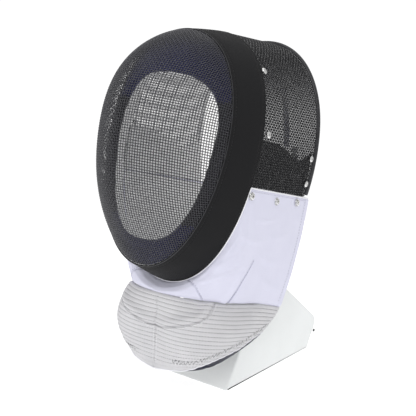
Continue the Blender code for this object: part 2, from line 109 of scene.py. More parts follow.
# The padded linings inside the cheeks, and the clip on the right one.
LINING_WALL = 0.003
LINING_SETBACK = 0.0008
LINING_QUILT = 0.026
CLIP_SIZE = (0.007, 0.012, 0.019)
CLIP_ALONG_SHARE = 0.72
CLIP_STEPS = 20

# The sprung tongue behind the head.
TONGUE_WALL = 0.003
TONGUE_WIDTH = 0.009
TONGUE_ROOT_WIDTH = 0.030
TONGUE_REACH = 0.058
TONGUE_ROOT_SHARE = 0.80
TONGUE_DROP = 0.145

# The bib and its lower panel.
BIB_WALL = 0.004
BIB_PUFF = 0.004
BIB_OVERHANG = 0.013
BIB_HEM_TURN = 0.0065
BIB_TOP_HALF_LENGTH = 0.349
BIB_LOW_HALF_LENGTH = 0.212
LAME_WALL = 0.003
LAME_HEM_TURN = 0.0065
LAME_ROW_PITCH = 0.0055
LAME_ROW_DEPTH = 0.00055
LAME_ZIGZAG_TOP = 0.0165

# Snaps on the bib and rivets on the hood.
SNAP_RADIUS = 0.0045
SNAP_HEIGHT = 0.0028
SNAP_DRAWN_WIDER = 1.14
RIVET_RADIUS = 0.0043
RIVET_HEIGHT = 0.0018

# The stand.
STAND_WIDTH = 0.124
STAND_DEPTH = 0.196
STAND_FACE_SLOPE = math.radians(58)
STAND_TOP_SLOPE = math.radians(39)
STAND_REAR_HEIGHT = 0.041
STAND_EDGE = 0.003
STAND_CORNER = 0.017
STAND_SCREW_RADIUS = 0.0022
STAND_SCREW_HEIGHT = 0.0008
STAND_SCREW_UP = 0.024
STAND_SCREW_AHEAD = 0.009
POST_RADIUS = 0.011
POST_BEHIND_CENTRE = 0.013
POST_CAP_RADIUS = 0.020
POST_CAP_HEIGHT = 0.008

# Real wires that replace the two mesh shells.
WIRE_PITCH = 0.00317
HALF_PITCH = WIRE_PITCH / 2
FACE_WIRE_RADIUS = 0.0005
HOOD_WIRE_RADIUS = 0.00076

# Stitches: length and gap along a seam, the radii of threads, cords and piping.
STITCH_LENGTH = 0.0026
STITCH_GAP = 0.0012
THREAD_RADIUS = 0.00028
BIB_THREAD_RADIUS = 0.00034
ROW_THREAD_RADIUS = 0.00036
SEAM_THREAD_RADIUS = 0.00042
BAND_CORD_RADIUS = 0.0006
HEM_CORD_RADIUS = 0.0007
PIPING_RADIUS = 0.0011
SEAM_SPACING = 0.004

# A wave texture of scale s has a band every WAVE_BAND / s metres.
WAVE_BAND = 0.314

# The studio and the camera, which looks at a spot beside and below the face's centre.
ROOM_LIGHT = 0.72
BACKDROP_LIGHT = 1.06
FLOOR_RADIUS = 0.90
FLOOR_STEPS = 96
CAMERA_TURN = math.radians(39.6106)
CAMERA_RISE = math.radians(12.4550)
CAMERA_DISTANCE = 1.0261
CAMERA_ASIDE = 0.0541
CAMERA_BELOW_FACE = 0.0775
CAMERA_SENSOR = 36.0
CAMERA_FOCAL_SHARE = 815.7656 / 416

# Rows of the bib. Widths, front and turn are shares of the face width. The drop is measured
# down from the face centre as a share of the face height. Edge values are at the rear edge:
# half_width, front, turn, square, pinch, drop, edge_half_width, edge_back, edge_drop, curl.
BIB_ROWS = {
    "lame_top": (0.447, 0.086, 0.254, 2.0, 0.0, 0.613, 0.437, 0.680, 0.753, 2.0),
    "lame_middle": (0.487, 0.152, 0.228, 3.0, 0.05, 0.762, 0.410, 0.569, 0.830, 1.5),
    "lame_hem": (0.366, 0.127, 0.228, 2.6, 0.0, 0.947, 0.355, 0.447, 0.890, 1.0),
}

# Top edge of each cheek lining: share of the way from band to rim, share of the way down.
LINING_TOP = ((0.00, 0.77), (0.30, 0.77), (0.50, 0.79), (0.66, 0.83), (0.80, 0.82), (1.00, 0.76))

# Rivets on the hood: share of the way round from the crown, share of the way back.
RIVETS = ((0.42, 0.03), (0.74, 0.07), (0.80, 0.92), (0.93, 0.93))

# Snaps on the bib: share of the way round from the chin, share of the way down.
SNAPS = ((0.54, 0.07), (0.73, 0.08), (0.90, 0.06))

# Seams and edges, each from point to point: share round, share down.
BIB_DART = ((0.600, 0.600), (0.568, 0.688), (0.522, 0.817), (0.488, 0.908), (0.460, 1.0))
BIB_SEAM = ((0.10, 0.0), (0.177, 0.458), (0.248, 0.779), (0.31, 1.0))
LAME_CREASE = (
    (0.0, 0.480), (0.05, 0.478), (0.13, 0.425), (0.238, 0.338), (0.323, 0.242), (0.360, 0.160),
    (0.385, 0.0),
)
# Below this edge the panel is painted dark navy: its turned backing, and painted shade on its
# underside.
LAME_EDGE = (
    (0.00, 0.997), (0.28, 0.997), (0.345, 0.975), (0.420, 0.905), (0.502, 0.825),
    (0.605, 0.760), (0.695, 0.720), (0.77, 0.690), (0.87, 0.660), (0.99, 0.640),
)

# Soft wrinkles of the bib: share round, share down, half length, half width, height, tilt.
BIB_WRINKLES = (
    (0.66, 0.27, 0.022, 0.0035, 0.0007, -4.0),
    (0.58, 0.45, 0.026, 0.0045, 0.0008, 6.0),
    (0.40, 0.27, 0.020, 0.0030, 0.0006, -2.0),
    (0.44, 0.48, 0.024, 0.0040, 0.0008, 5.0),
    (0.42, 0.64, 0.022, 0.0032, 0.0008, 8.0),
    (0.78, 0.40, 0.024, 0.0050, 0.0006, -8.0),
    (0.72, 0.62, 0.028, 0.0060, 0.0008, 10.0),
    (0.80, 0.84, 0.026, 0.0060, 0.0007, 14.0),
    (0.22, 0.30, 0.014, 0.0030, 0.0005, -6.0),
    (0.30, 0.60, 0.016, 0.0030, 0.0006, 10.0),
)

# Outlines of turned and moulded pieces: share of the radius, share of the height. The
# clip's rows have the height first, and the post's cap counts down from its top.
SNAP_OUTLINE = (
    (0.02, 0.10), (0.30, 0.10), (0.33, 0.50), (0.35, 0.84), (0.40, 0.97), (0.48, 1.0),
    (0.62, 0.93), (0.75, 0.76), (0.80, 0.50), (0.81, 0.14), (0.87, 0.12), (0.97, 0.26),
    (1.0, 0.16), (0.97, -0.06), (0.02, -0.08),
)
RIVET_OUTLINE = (
    (0.02, 0.20), (0.28, 0.20), (0.31, 0.60), (0.34, 0.95), (0.44, 1.0), (0.60, 0.96),
    (0.78, 0.84), (0.92, 0.60), (1.0, 0.30), (0.97, -0.10), (0.02, -0.12),
)
SCREW_OUTLINE = (
    (0.05, -0.2), (0.42, -0.2), (0.48, 0.7), (0.60, 1.0), (0.86, 0.8), (1.0, 0.3),
    (1.0, -0.3), (0.05, -0.35),
)
CAP_OUTLINE = (
    (0.02, 0.0), (0.25, 0.015), (0.4, 0.04), (0.55, 0.09), (0.7, 0.17), (0.82, 0.29),
    (0.92, 0.45), (0.98, 0.60), (1.0, 0.75), (0.97, 0.90), (0.92, 1.0),
)
CLIP_ROWS = (
    (-0.50, 0.05), (-0.50, 0.55), (-0.46, 0.80), (-0.38, 0.94), (-0.15, 1.0), (0.02, 0.70),
    (0.08, 0.48), (0.16, 0.46), (0.22, 0.72), (0.32, 0.86), (0.42, 0.78), (0.49, 0.50),
    (0.50, 0.05),
)


# ---------------------------------------------------------------- surfaces


def unit(vectors):
    size = np.linalg.norm(vectors, axis=-1, keepdims=True)
    return vectors / np.maximum(size, 1e-12)


def signed_power(values, power):
    return np.sign(values) * np.abs(values) ** power


def circle(count):
    """Even angles round a full circle."""
    return np.arange(count) * 2 * math.pi / count


def reach_of(points):
    """Length along a polyline at each of its points."""
    steps = np.linalg.norm(np.diff(points, axis=0), axis=1)
    return np.concatenate([[0.0], np.cumsum(steps)])


def reach_grid(steps, axis):
    """Lengths summed along one axis of a grid, from zero."""
    start = np.zeros_like(np.take(steps, [0], axis=axis))
    return np.concatenate([start, np.cumsum(steps, axis=axis)], axis=axis)


def at_places(at, places, points):
    """Each column of some points, taken at given places along them."""
    return np.stack([np.interp(at, places, column) for column in points.T], axis=-1)


def along(points, shares):
    """Points at given shares of a polyline's length."""
    length = reach_of(points)
    return at_places(shares, length / length[-1], points)


def face_to_world(x, up, ahead):
    """From the leaning face plane: across, up along it and ahead of it."""
    x, up, ahead = np.broadcast_arrays(x, up, ahead)
    back = up * math.sin(FACE_LEAN) - ahead * math.cos(FACE_LEAN) - FACE_AHEAD_OF_STAND
    height = up * math.cos(FACE_LEAN) + ahead * math.sin(FACE_LEAN) + FACE_ABOVE_FOOT
    return np.stack([x, back, height], axis=-1)


def turn_to_world(vectors):
    origin = face_to_world(0.0, 0.0, 0.0)
    return face_to_world(vectors[..., 0], vectors[..., 1], vectors[..., 2]) - origin


def half_width(share):
    """Half width of the face outline at a share of its half height."""
    round_part = np.sqrt(np.clip(1.0 - share * share, 0.0, 1.0))
    egg = 1.0 + FACE_EGG_SHARE * share + FACE_SHOULDER_SHARE * share * share
    return FACE_WIDTH / 2 * round_part * egg


def bulge(x, up):
    """How far the wire face stands ahead of its plane."""
    share = np.clip(up / (FACE_HEIGHT / 2), -1.0, 1.0)
    side = np.clip(np.abs(x) / np.maximum(half_width(share), 1e-9), 0.0, 1.0)
    ends = np.clip(1.0 - np.abs(share) ** BULGE_END_POWER, 0.0, 1.0) ** (1 / BULGE_ROUND_POWER)
    sides = np.clip(1.0 - side ** BULGE_SIDE_POWER, 0.0, 1.0) ** (1 / BULGE_ROUND_POWER)
    centre_line = BULGE * (1.0 + BULGE_BROW_SHARE * share - BULGE_FLATTEN_SHARE * share * share)
    return centre_line * ends * sides


def outline(angle):
    """Face outline at an angle from the brow: across and up."""
    share = np.cos(angle)
    return np.sign(np.sin(angle)) * half_width(share), share * FACE_HEIGHT / 2


def outline_normal(angle):
    across = np.sin(angle) / FACE_WIDTH
    up = np.cos(angle) / FACE_HEIGHT
    size = np.hypot(across, up)
    return across / size, up / size


def face_normal(x, up):
    """Outward normal of the wire face."""
    step = 0.0003
    slope_x = (bulge(x + step, up) - bulge(x - step, up)) / (2 * step)
    slope_up = (bulge(x, up + step) - bulge(x, up - step)) / (2 * step)
    flat = np.stack([-slope_x, -slope_up, np.ones_like(slope_x)], axis=-1)
    return turn_to_world(unit(flat))


def band_point(angle, share):
    """Outer face of the trim band, from its front edge (0) to its rear edge (1)."""
    x, up = outline(angle)
    across_n, up_n = outline_normal(angle)
    spread = BAND_FLARE * share
    depth = BAND_DEPTH + BAND_EXTRA_DEPTH * np.cos(angle) ** 2
    return face_to_world(x + spread * across_n, up + spread * up_n, -depth * share)


def rim_line(count=121):
    """Centre line of the right half of the rear rim, from the crown down."""
    angle = np.linspace(0.0, math.pi / 2, count)
    power = 2 / RIM_ROUND_POWER
    arch_x = RIM_WIDTH / 2 * np.sin(angle) ** power
    arch_up = RIM_ARCH * np.clip(np.cos(angle), 0.0, 1.0) ** power
    leg = np.linspace(0.0, 1.0, count)[1:]
    leg_x = RIM_WIDTH / 2 - RIM_TUCK * leg ** 2
    leg_up = -RIM_LEG * leg
    x = np.concatenate([arch_x, leg_x])
    up = np.concatenate([arch_up, leg_up])
    back = RIM_BEHIND_FACE + RIM_LEAN_RATIO * (up - RIM_ARCH) - FACE_AHEAD_OF_STAND
    return np.stack([x, back, up - RIM_CENTRE_DROP + FACE_ABOVE_FOOT], axis=-1)


def both_sides(shares, right_half):
    """Points for shares -1 to 1 from a right half given for 0 to 1."""
    points = right_half(np.abs(shares))
    flip = np.where(shares < 0, -1.0, 1.0)
    return points * np.stack([flip, np.ones_like(flip), np.ones_like(flip)], axis=-1)


def hood_front(shares):
    """Band's rear edge over the hood, by length from the crown to the cheek."""
    angles = np.linspace(0.0, HOOD_JOIN_ANGLE, 161)
    return along(band_point(angles, 1.0), shares)


def bib_top(shares):
    """Bib's top edge, by length from the chin round to its rear corner."""
    angles = np.linspace(math.pi, HOOD_JOIN_ANGLE, 121)
    under_band = band_point(angles, 1.0)
    joint, end = under_band[-1], rim_line()[-1]
    way = (end - joint) / np.linalg.norm(end - joint)
    corner = end + way * BIB_OVERHANG
    return along(np.vstack([under_band, corner]), shares)


def bib_row(name, shares):
    """One row of the bib, by length from the front centre to the rear edge."""
    half, front, turn, square, pinch, drop, edge_half, edge_back, edge_drop, curl = BIB_ROWS[name]
    angle = np.linspace(0.0, math.pi / 2, 81)
    power = 2 / square
    x = half * np.clip(np.sin(angle), 0.0, 1.0) ** power
    y = turn - (turn + front) * np.clip(np.cos(angle), 0.0, 1.0) ** power
    y = y + pinch * np.clip(1.0 - x / half, 0.0, 1.0) ** 2
    x = np.append(x, edge_half)
    y = np.append(y, edge_back)
    flat = np.stack([x * FACE_WIDTH, y * FACE_WIDTH - FACE_AHEAD_OF_STAND, 0.0 * x], axis=-1)
    points = along(flat, shares)
    level = drop + (edge_drop - drop) * shares ** curl
    points[..., 2] = FACE_ABOVE_FOOT - level * FACE_HEIGHT
    return points


def outward_from_neck(points):
    """Level direction from the neck's axis to each point."""
    axis = np.array([0.0, FACE_WIDTH / 4 - FACE_AHEAD_OF_STAND, 0.0])
    return unit((points - axis) * np.array([1.0, 1.0, 0.0]))


def hood_point(shares, back):
    """Hood surface: shares -1 to 1 round, 0 to 1 from the band to the rim's centre line."""
    shares, back = np.broadcast_arrays(shares, back)
    front = both_sides(shares, hood_front)
    rear = both_sides(shares, lambda half: along(rim_line(), half))
    return front + (rear - front) * back[..., None]


def hood_normal(shares, back):
    step = 0.005
    round_way = hood_point(shares + step, back) - hood_point(shares - step, back)
    back_way = hood_point(shares, 1.0 + 0.0 * back) - hood_point(shares, 0.0 * back)
    return unit(np.cross(round_way, back_way))


def bib_point(shares, down):
    """White part of the bib, from its top edge (0) to the panel (1)."""
    shares, down = np.broadcast_arrays(shares, down)
    top = both_sides(shares, bib_top)
    low = both_sides(shares, lambda half: bib_row("lame_top", half))
    points = top + (low - top) * down[..., None]
    rise = BIB_PUFF * 4 * down * (1 - down)
    return points + outward_from_neck(points) * rise[..., None]


def lame_point(shares, down):
    """Lower panel of the bib, through its top, middle and hem rows."""
    shares, down = np.broadcast_arrays(shares, down)
    rows = [both_sides(shares, lambda half, n=n: bib_row(n, half)) for n in BIB_ROWS]
    weights = (
        2 * (down - 0.5) * (down - 1.0),
        -4 * down * (down - 1.0),
        2 * down * (down - 0.5),
    )
    return sum(row * weight[..., None] for row, weight in zip(rows, weights))


def surface_normals(surface, shares, down, step=0.004):
    """Normals of a bib surface, away from the neck."""
    across = surface(shares + step, down) - surface(shares - step, down)
    below = surface(shares, down + step) - surface(shares, down - step)
    normal = unit(np.cross(across, below))
    away = outward_from_neck(surface(shares, down))
    sign = np.where((normal * away).sum(-1, keepdims=True) < 0, -1.0, 1.0)
    return normal * sign


def grid_normals(points, loop=False):
    down = np.gradient(points, axis=0)
    if loop:
        across = np.roll(points, -1, axis=1) - np.roll(points, 1, axis=1)
    else:
        across = np.gradient(points, axis=1)
    return unit(np.cross(down, across))


# ---------------------------------------------------------------- meshes


def number_grid(rows, columns, start=0):
    return start + np.arange(rows * columns).reshape(rows, columns)


def strips(index, loop=False, flip=False):
    """Quads between the rows of a grid of vertex numbers, closed round for a loop."""
    left, right = index, np.roll(index, -1, axis=1)
    if not loop:
        left, right = left[:, :-1], right[:, :-1]
    corners = [left[:-1], right[:-1], right[1:], left[1:]]
    if flip:
        corners = [left[:-1], left[1:], right[1:], right[:-1]]
    return np.stack(corners, axis=-1).reshape(-1, 4).tolist()


def bar_faces(index, flip=False):
    """Sides and ends of a bar whose rings are the rows of a grid."""
    first, last = (index[0], index[-1][::-1]) if flip else (index[0][::-1], index[-1])
    return strips(index, True, flip) + [first.tolist(), last.tolist()]


def add_mesh(name, points, faces, material, sharp=None, uv=None):
    mesh = bpy.data.meshes.new(name)
    mesh.from_pydata(np.asarray(points).tolist(), [], faces)
    mesh.update()
    mesh.shade_smooth()
    if sharp is not None:
        mesh.set_sharp_from_angle(angle=math.radians(sharp))
    if uv is not None:
        layer = mesh.uv_layers.new(name="cloth")
        corner = np.empty(len(mesh.loops), dtype=np.int32)
        mesh.loops.foreach_get("vertex_index", corner)
        layer.data.foreach_set("uv", np.asarray(uv, dtype=np.float32)[corner].ravel())
    mesh.materials.append(material)
    thing = bpy.data.objects.new(name, mesh)
    bpy.context.scene.collection.objects.link(thing)
    return thing


def face_outward(thing):
    """Turns the faces of a closed mesh outward, by its signed volume."""
    mesh = thing.data
    mesh.calc_loop_triangles()
    count = len(mesh.loop_triangles)
    corner = np.empty(count * 3, dtype=np.int32)
    mesh.loop_triangles.foreach_get("vertices", corner)
    spots = np.empty(len(mesh.vertices) * 3)
    mesh.vertices.foreach_get("co", spots)
    a, b, c = spots.reshape(-1, 3)[corner.reshape(-1, 3)].transpose(1, 0, 2)
    if (a * np.cross(b, c)).sum() < 0:
        mesh.flip_normals()
    return thing


def piece(thing, slot, *stands_for):
    """A piece of the mask: it rides on the one body and hides the parts it stands for. Its slot is
    not used.
    """
    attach(thing, "root")
    if stands_for:
        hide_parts(*stands_for)
    return thing


def paint(thing, material, choose):
    """A second finish for the faces that choose(centres, normals) picks."""
    mesh = thing.data
    mesh.materials.append(material)
    spots = []
    for word in ("center", "normal"):
        values = np.zeros(len(mesh.polygons) * 3)
        mesh.polygons.foreach_get(word, values)
        spots.append(values.reshape(-1, 3))
    mesh.polygons.foreach_set("material_index", choose(*spots).astype(np.int32))


def tube_mesh(name, lines, radius, material, sides=4, squash=1.0):
    """Joined round bars. Each line is its points and the normals of what it lies on."""
    points, faces, start = [], [], 0
    turn = circle(sides)[None, :, None]
    for line, normals in lines:
        way = unit(np.gradient(line, axis=0))
        side = unit(np.cross(way, normals))
        lift = np.cross(side, way)
        ring = np.cos(turn) * lift[:, None] * squash + np.sin(turn) * side[:, None]
        points.append((line[:, None] + radius * ring).reshape(-1, 3))
        faces += bar_faces(number_grid(len(line), sides, start))
        start += len(line) * sides
    return add_mesh(name, np.concatenate(points), faces, material)


def turned_mesh(name, profile, places, material, steps=20):
    """Solids turned from (radius, height) pairs, one at each place: spot and normal."""
    points, faces = [], []
    profile = np.array(profile)
    angles = circle(steps)
    across, height = profile[:, :1], np.repeat(profile[:, 1:], steps, axis=1)
    ring = np.stack([across * np.cos(angles), across * np.sin(angles), height], axis=-1)
    for number, (spot, normal) in enumerate(places):
        matrix = np.array(Vector(normal).to_track_quat("Z", "Y").to_matrix())
        points.append(ring.reshape(-1, 3) @ matrix.T + np.asarray(spot))
        start = number * len(profile) * steps
        faces += bar_faces(number_grid(len(profile), steps, start), flip=True)
    return add_mesh(name, np.concatenate(points), faces, material, sharp=35)


def shell_mesh(name, outer, inner, material, loop=False, edge_round=0.45, uv_scale=(1.0, 1.0)):
    """Closed sheet between an outer and an inner grid of points, with rounded edges.

    The grids are rows by columns. The edge rows get a middle row that stands out.
    """
    rows, columns = outer.shape[:2]

    def edge(last, before):
        way = unit((outer[last] - outer[before]) + (inner[last] - inner[before]))
        size = np.linalg.norm(outer[last] - inner[last], axis=-1, keepdims=True)
        return (outer[last] + inner[last]) / 2 + way * size * edge_round

    cycle = np.concatenate([outer, edge(-1, -2)[None], inner[::-1], edge(0, 1)[None]], axis=0)
    count = len(cycle)
    index = number_grid(count, columns)
    faces = strips(np.vstack([index, index[:1]]), loop, flip=True)
    points = [cycle.reshape(-1, 3)]
    for column, neighbour in () if loop else ((0, 1), (-1, -2)):
        middle = sum(len(part) for part in points) + np.arange(rows)
        points.append(edge(np.s_[:, column], np.s_[:, neighbour]))
        out = index[:rows, column]
        into = index[rows + 1 : 2 * rows + 1, column][::-1]
        low, high = index[rows, column], index[2 * rows + 1, column]
        end = strips(np.stack([out, middle], axis=1)) + strips(np.stack([middle, into], axis=1))
        end += np.array([
            [out[-1], middle[-1], low], [middle[-1], into[-1], low],
            [middle[0], out[0], high], [into[0], middle[0], high],
        ]).tolist()
        faces += [face[::-1] for face in end] if column else end
    points = np.concatenate(points)
    u, v = np.meshgrid(
        np.linspace(0.0, uv_scale[0], columns), np.linspace(0.0, uv_scale[1] * count / rows, count)
    )
    uv = np.stack([u, v], axis=-1).reshape(-1, 2)
    uv = np.concatenate([uv, np.zeros((len(points) - len(uv), 2))], axis=0)
    return face_outward(add_mesh(name, points, faces, material, uv=uv))


def round_edge_of(grid):
    """The values round the outside of a grid, in order."""
    return np.concatenate([grid[0, :-1], grid[:-1, -1], grid[-1, :0:-1], grid[:0:-1, 0]])


def cloth_mesh(name, outer, inner, material, uv_scale, step=4):
    """Closed sheet whose outer side is fine and whose inner side is coarser by a whole step."""
    rows, columns = outer.shape[:2]
    index = number_grid(rows, columns)
    coarse = inner[::step, ::step]
    under = number_grid(*coarse.shape[:2], rows * columns)
    faces = strips(index, flip=True) + strips(under)
    edge, below = round_edge_of(index), round_edge_of(under)
    before = np.concatenate([outer[1, :-1], outer[:-1, -2], outer[-2, :0:-1], outer[:0:-1, 1]])
    flat = outer.reshape(-1, 3)
    inside = inner.reshape(-1, 3)[edge]
    size = np.linalg.norm(flat[edge] - inside, axis=-1, keepdims=True)
    middle = (flat[edge] + inside) / 2 + unit(flat[edge] - before) * size * 0.4
    rim = rows * columns + under.size + np.arange(len(edge))
    faces += strips(np.stack([edge, rim]), loop=True)
    after = np.roll(below, -1)
    for number, corner in enumerate(below):
        run = [rim[(number * step + k) % len(rim)] for k in range(step + 1)]
        faces.append([int(v) for v in (*run, after[number], corner)])
    points = np.concatenate([flat, coarse.reshape(-1, 3), middle], axis=0)
    u, v = np.meshgrid(np.linspace(0, uv_scale[0], columns), np.linspace(0, uv_scale[1], rows))
    uv = np.stack([u, v], axis=-1)
    fine = uv.reshape(-1, 2)
    uv = np.concatenate([fine, uv[::step, ::step].reshape(-1, 2), fine[edge]])
    return face_outward(add_mesh(name, points, faces, material, uv=uv))


def stitches(line, normals, length=STITCH_LENGTH, gap=STITCH_GAP, lift=0.00012):
    """Short raised stitches along a line, their ends sunk into the cloth."""
    reach = reach_of(line)
    sunk = -0.8 * THREAD_RADIUS
    height = np.array([sunk, lift, sunk])[:, None]
    made = []
    for number in range(int((reach[-1] - gap) // (length + gap))):
        at = gap + number * (length + gap) + length * np.array([0.0, 0.5, 1.0])
        out = unit(at_places(at, reach, normals))
        made.append((at_places(at, reach, line) + out * height, out))
    return made


def resample(points, spacing=SEAM_SPACING):
    """A short table of seam points as evenly spaced ones, by share of its own length."""
    points = np.array(points)
    reach = reach_of(points)
    line = at_places(np.linspace(0.0, reach[-1], max(int(reach[-1] / spacing), 8)), reach, points)
    for _ in range(12):
        line[1:-1] = (line[:-2] + line[2:] + 2 * line[1:-1]) / 4
    return line


def distance_to_line(points, line):
    """Distance of each point to a dense line of points, in blocks."""
    flat = points.reshape(-1, 3)
    nearest = np.full(len(flat), 9.0)
    for start in range(0, len(line), 24):
        block = line[start : start + 24]
        gaps = np.linalg.norm(flat[:, None] - block[None], axis=-1).min(axis=1)
        nearest = np.minimum(nearest, gaps)
    return nearest.reshape(points.shape[:-1])


# ---------------------------------------------------------------- materials


class Finish:
    """A material on the Principled shader, with patterns for its tones, gloss and bumps."""

    def __init__(self, name, tone, roughness, metallic=0.0, specular=0.5, sheen=0.0):
        self.material = bpy.data.materials.new(name)
        self.material.use_nodes = True
        self.tree = self.material.node_tree
        self.shader = self.tree.nodes["Principled BSDF"]
        for socket, value in (
            ("Base Color", (*tone, 1.0)), ("Roughness", roughness), ("Metallic", metallic),
            ("Specular IOR Level", specular), ("Sheen Weight", sheen),
        ):
            self.shader.inputs[socket].default_value = value
        self.place = self.add("ShaderNodeTexCoord", "Object")

    def add(self, kind, output, inputs=(), **settings):
        """A new node with its inputs set or linked. Returns one of its outputs."""
        node = self.tree.nodes.new(kind)
        for key, value in settings.items():
            setattr(node, key, value)
        for key, value in dict(inputs).items():
            if isinstance(value, bpy.types.NodeSocket):
                self.tree.links.new(value, node.inputs[key])
            else:
                node.inputs[key].default_value = value
        return node.outputs[output]

    def noise(self, scale, detail=3.0, roughness=0.55):
        inputs = {"Vector": self.place, "Scale": scale, "Detail": detail, "Roughness": roughness}
        return self.add("ShaderNodeTexNoise", "Fac", inputs)

    def wave(self, place, thread, direction, distortion):
        inputs = {"Vector": place, "Scale": WAVE_BAND / thread, "Distortion": distortion}
        return self.add("ShaderNodeTexWave", "Fac", inputs, bands_direction=direction)

    def weave(self, thread, distortion):
        """Threads both ways, laid out on the cloth's own places."""
        cloth = self.add("ShaderNodeUVMap", "UV", uv_map="cloth")
        across, down = (self.wave(cloth, thread, way, distortion) for way in "XY")
        return self.math("MULTIPLY", across, down)

    def math(self, operation, first, second):
        return self.add("ShaderNodeMath", "Value", {0: first, 1: second}, operation=operation)

    def mix(self, *parts):
        """Sum of patterns, each with its weight."""
        weighted = [self.math("MULTIPLY", pattern, weight) for pattern, weight in parts]
        total = weighted[0]
        for part in weighted[1:]:
            total = self.math("ADD", total, part)
        return total

    def span(self, value, low, high, to_low=0.0, to_high=1.0):
        inputs = {"Value": value, "From Min": low, "From Max": high}
        inputs.update({"To Min": to_low, "To Max": to_high})
        return self.add("ShaderNodeMapRange", "Result", inputs)

    def into_shader(self, value, socket):
        self.tree.links.new(value, self.shader.inputs[socket])

    def tones(self, pattern, low, high, first, second):
        """Base colour between two tones, as the pattern goes from low to high."""
        inputs = {0: self.span(pattern, low, high), 6: (*first, 1.0), 7: (*second, 1.0)}
        self.into_shader(self.add("ShaderNodeMix", 2, inputs, data_type="RGBA"), "Base Color")

    def gloss(self, pattern, to_low, to_high, low=0.3, high=0.7):
        self.into_shader(self.span(pattern, low, high, to_low, to_high), "Roughness")

    def bumps(self, *layers):
        """Bumps over each other, the lowest first: pattern, height and strength."""
        normal = None
        for height, distance, strength in layers:
            inputs = {"Height": height, "Distance": distance, "Strength": strength}
            if normal is not None:
                inputs["Normal"] = normal
            normal = self.add("ShaderNodeBump", "Normal", inputs)
        self.into_shader(normal, "Normal")


def hard_finish(name, shader, tones, patch, gloss, grain):
    """Enamel, steel or plastic. Shader: tone, roughness, metallic, specular. Patch and gloss:
    from, to and their noise. Grain: its height, strength and noise."""
    finish = Finish(name, *shader)
    finish.tones(finish.noise(*patch[2:]), *patch[:2], *tones)
    finish.gloss(finish.noise(*gloss[2:]), *gloss[:2])
    finish.bumps((finish.noise(*grain[2:]), *grain[:2]))
    return finish.material


def wire_finish(name, tone, worn, specular):
    """Enamel on steel wire, with thin lighter wear."""
    return hard_finish(
        name, (tone, 0.26, 0.0, specular), (tone, worn), (0.60, 0.72, 420.0, 4.0),
        (0.18, 0.34, 900.0), (0.00006, 0.5, 1600.0),
    )


def woven_finish(name, tone, light, roughness, thread, specular=0.3, sheen=0.0):
    """Plain-woven cloth: fine threads both ways, slow changes of tone, a soft nap."""
    finish = Finish(name, tone, roughness, 0.0, specular, sheen)
    weave, slow = finish.weave(thread, 0.4), finish.noise(45.0, 4.0)
    finish.tones(finish.mix((weave, 0.55), (slow, 0.75)), 0.2, 0.9, tone, light)
    finish.gloss(slow, roughness - 0.06, min(roughness + 0.08, 1.0))
    finish.bumps((weave, thread * 0.25, 0.6), (finish.noise(700.0, 4.0), 0.00010, 0.45))
    return finish.material


def nap_finish(name, tone, light, roughness=0.95, sheen=0.35):
    """Brushed cloth over foam."""
    finish = Finish(name, tone, roughness, 0.0, 0.15, sheen)
    pile, slow = finish.noise(1100.0, 5.0, 0.65), finish.noise(38.0)
    finish.tones(finish.mix((pile, 0.5), (slow, 0.5)), 0.35, 0.65, tone, light)
    finish.gloss(slow, roughness - 0.08, 1.0)
    finish.bumps((pile, 0.00035, 0.6))
    return finish.material


def thread_finish(name, tone, light):
    """Twisted sewing thread."""
    finish = Finish(name, tone, 0.75, 0.0, 0.3, 0.2)
    twist = finish.wave(finish.place, 0.0004, "DIAGONAL", 1.0)
    finish.tones(finish.noise(300.0), 0.3, 0.7, tone, light)
    finish.gloss(twist, 0.65, 0.85, 0.0, 1.0)
    finish.bumps((twist, 0.00006, 0.5))
    return finish.material


def vinyl_finish(name, tone, light, roughness, cell):
    """Vinyl with a fine pebbled grain and rubbed patches."""
    finish = Finish(name, tone, roughness)
    pebbles = {"Vector": finish.place, "Scale": 1.0 / cell}
    grain = finish.add("ShaderNodeTexVoronoi", "Distance", pebbles)
    slow = finish.noise(60.0, 4.0)
    finish.tones(slow, 0.35, 0.75, tone, light)
    finish.gloss(slow, roughness - 0.06, roughness + 0.10)
    finish.bumps((grain, cell * 0.18, 0.5), (finish.noise(900.0), 0.00006, 0.4))
    return finish.material


def lame_finish():
    """Grey conductive cloth: metal threads woven close, slightly blotched."""
    finish = Finish("lame_cloth", (0.60, 0.60, 0.63), 0.55, 0.15, 0.35)
    weave, speck = finish.weave(0.0011, 0.6), finish.noise(520.0, 5.0, 0.7)
    mix = finish.mix((weave, 0.30), (speck, 0.50), (finish.noise(30.0), 0.35))
    finish.tones(mix, 0.28, 0.72, (0.53, 0.53, 0.55), (0.71, 0.70, 0.72))
    finish.gloss(speck, 0.45, 0.68)
    finish.bumps((weave, 0.0002, 0.6), (speck, 0.00018, 0.5))
    return finish.material


FACE_WIRE = wire_finish("face_wire_enamel", (0.032, 0.032, 0.040), (0.090, 0.090, 0.105), 0.9)
# Painted light: a light grey copy of the black hood wire enamel, for the wires' inner halves.
PAINTED_LIGHT_WIRE = wire_finish("wire_painted_light", (0.82, 0.82, 0.83), (0.74, 0.74, 0.75), 0.4)
HOOD_WIRE = wire_finish("hood_wire_enamel", (0.006, 0.006, 0.008), (0.020, 0.020, 0.023), 0.4)
TRIM = woven_finish(
    "trim_cloth", (0.0078, 0.0078, 0.0085), (0.0145, 0.0145, 0.0160), 0.82, 0.0009, 0.18, 0.03
)
WHITE = woven_finish(
    "bib_cloth", (0.715, 0.715, 0.850), (0.775, 0.775, 0.905), 0.80, 0.0008, 0.25, 0.10
)
PIPING = woven_finish("piping_cloth", (0.86, 0.86, 0.90), (0.93, 0.93, 0.96), 0.75, 0.0007)
FACING = woven_finish("facing_cloth", (0.86, 0.86, 0.86), (0.94, 0.94, 0.94), 0.85, 0.0009, 0.2)
VINYL = vinyl_finish("binding_vinyl", (0.014, 0.014, 0.017), (0.030, 0.030, 0.036), 0.30, 0.0008)
NAVY = nap_finish("navy_cloth", (0.010, 0.011, 0.070), (0.026, 0.028, 0.130))
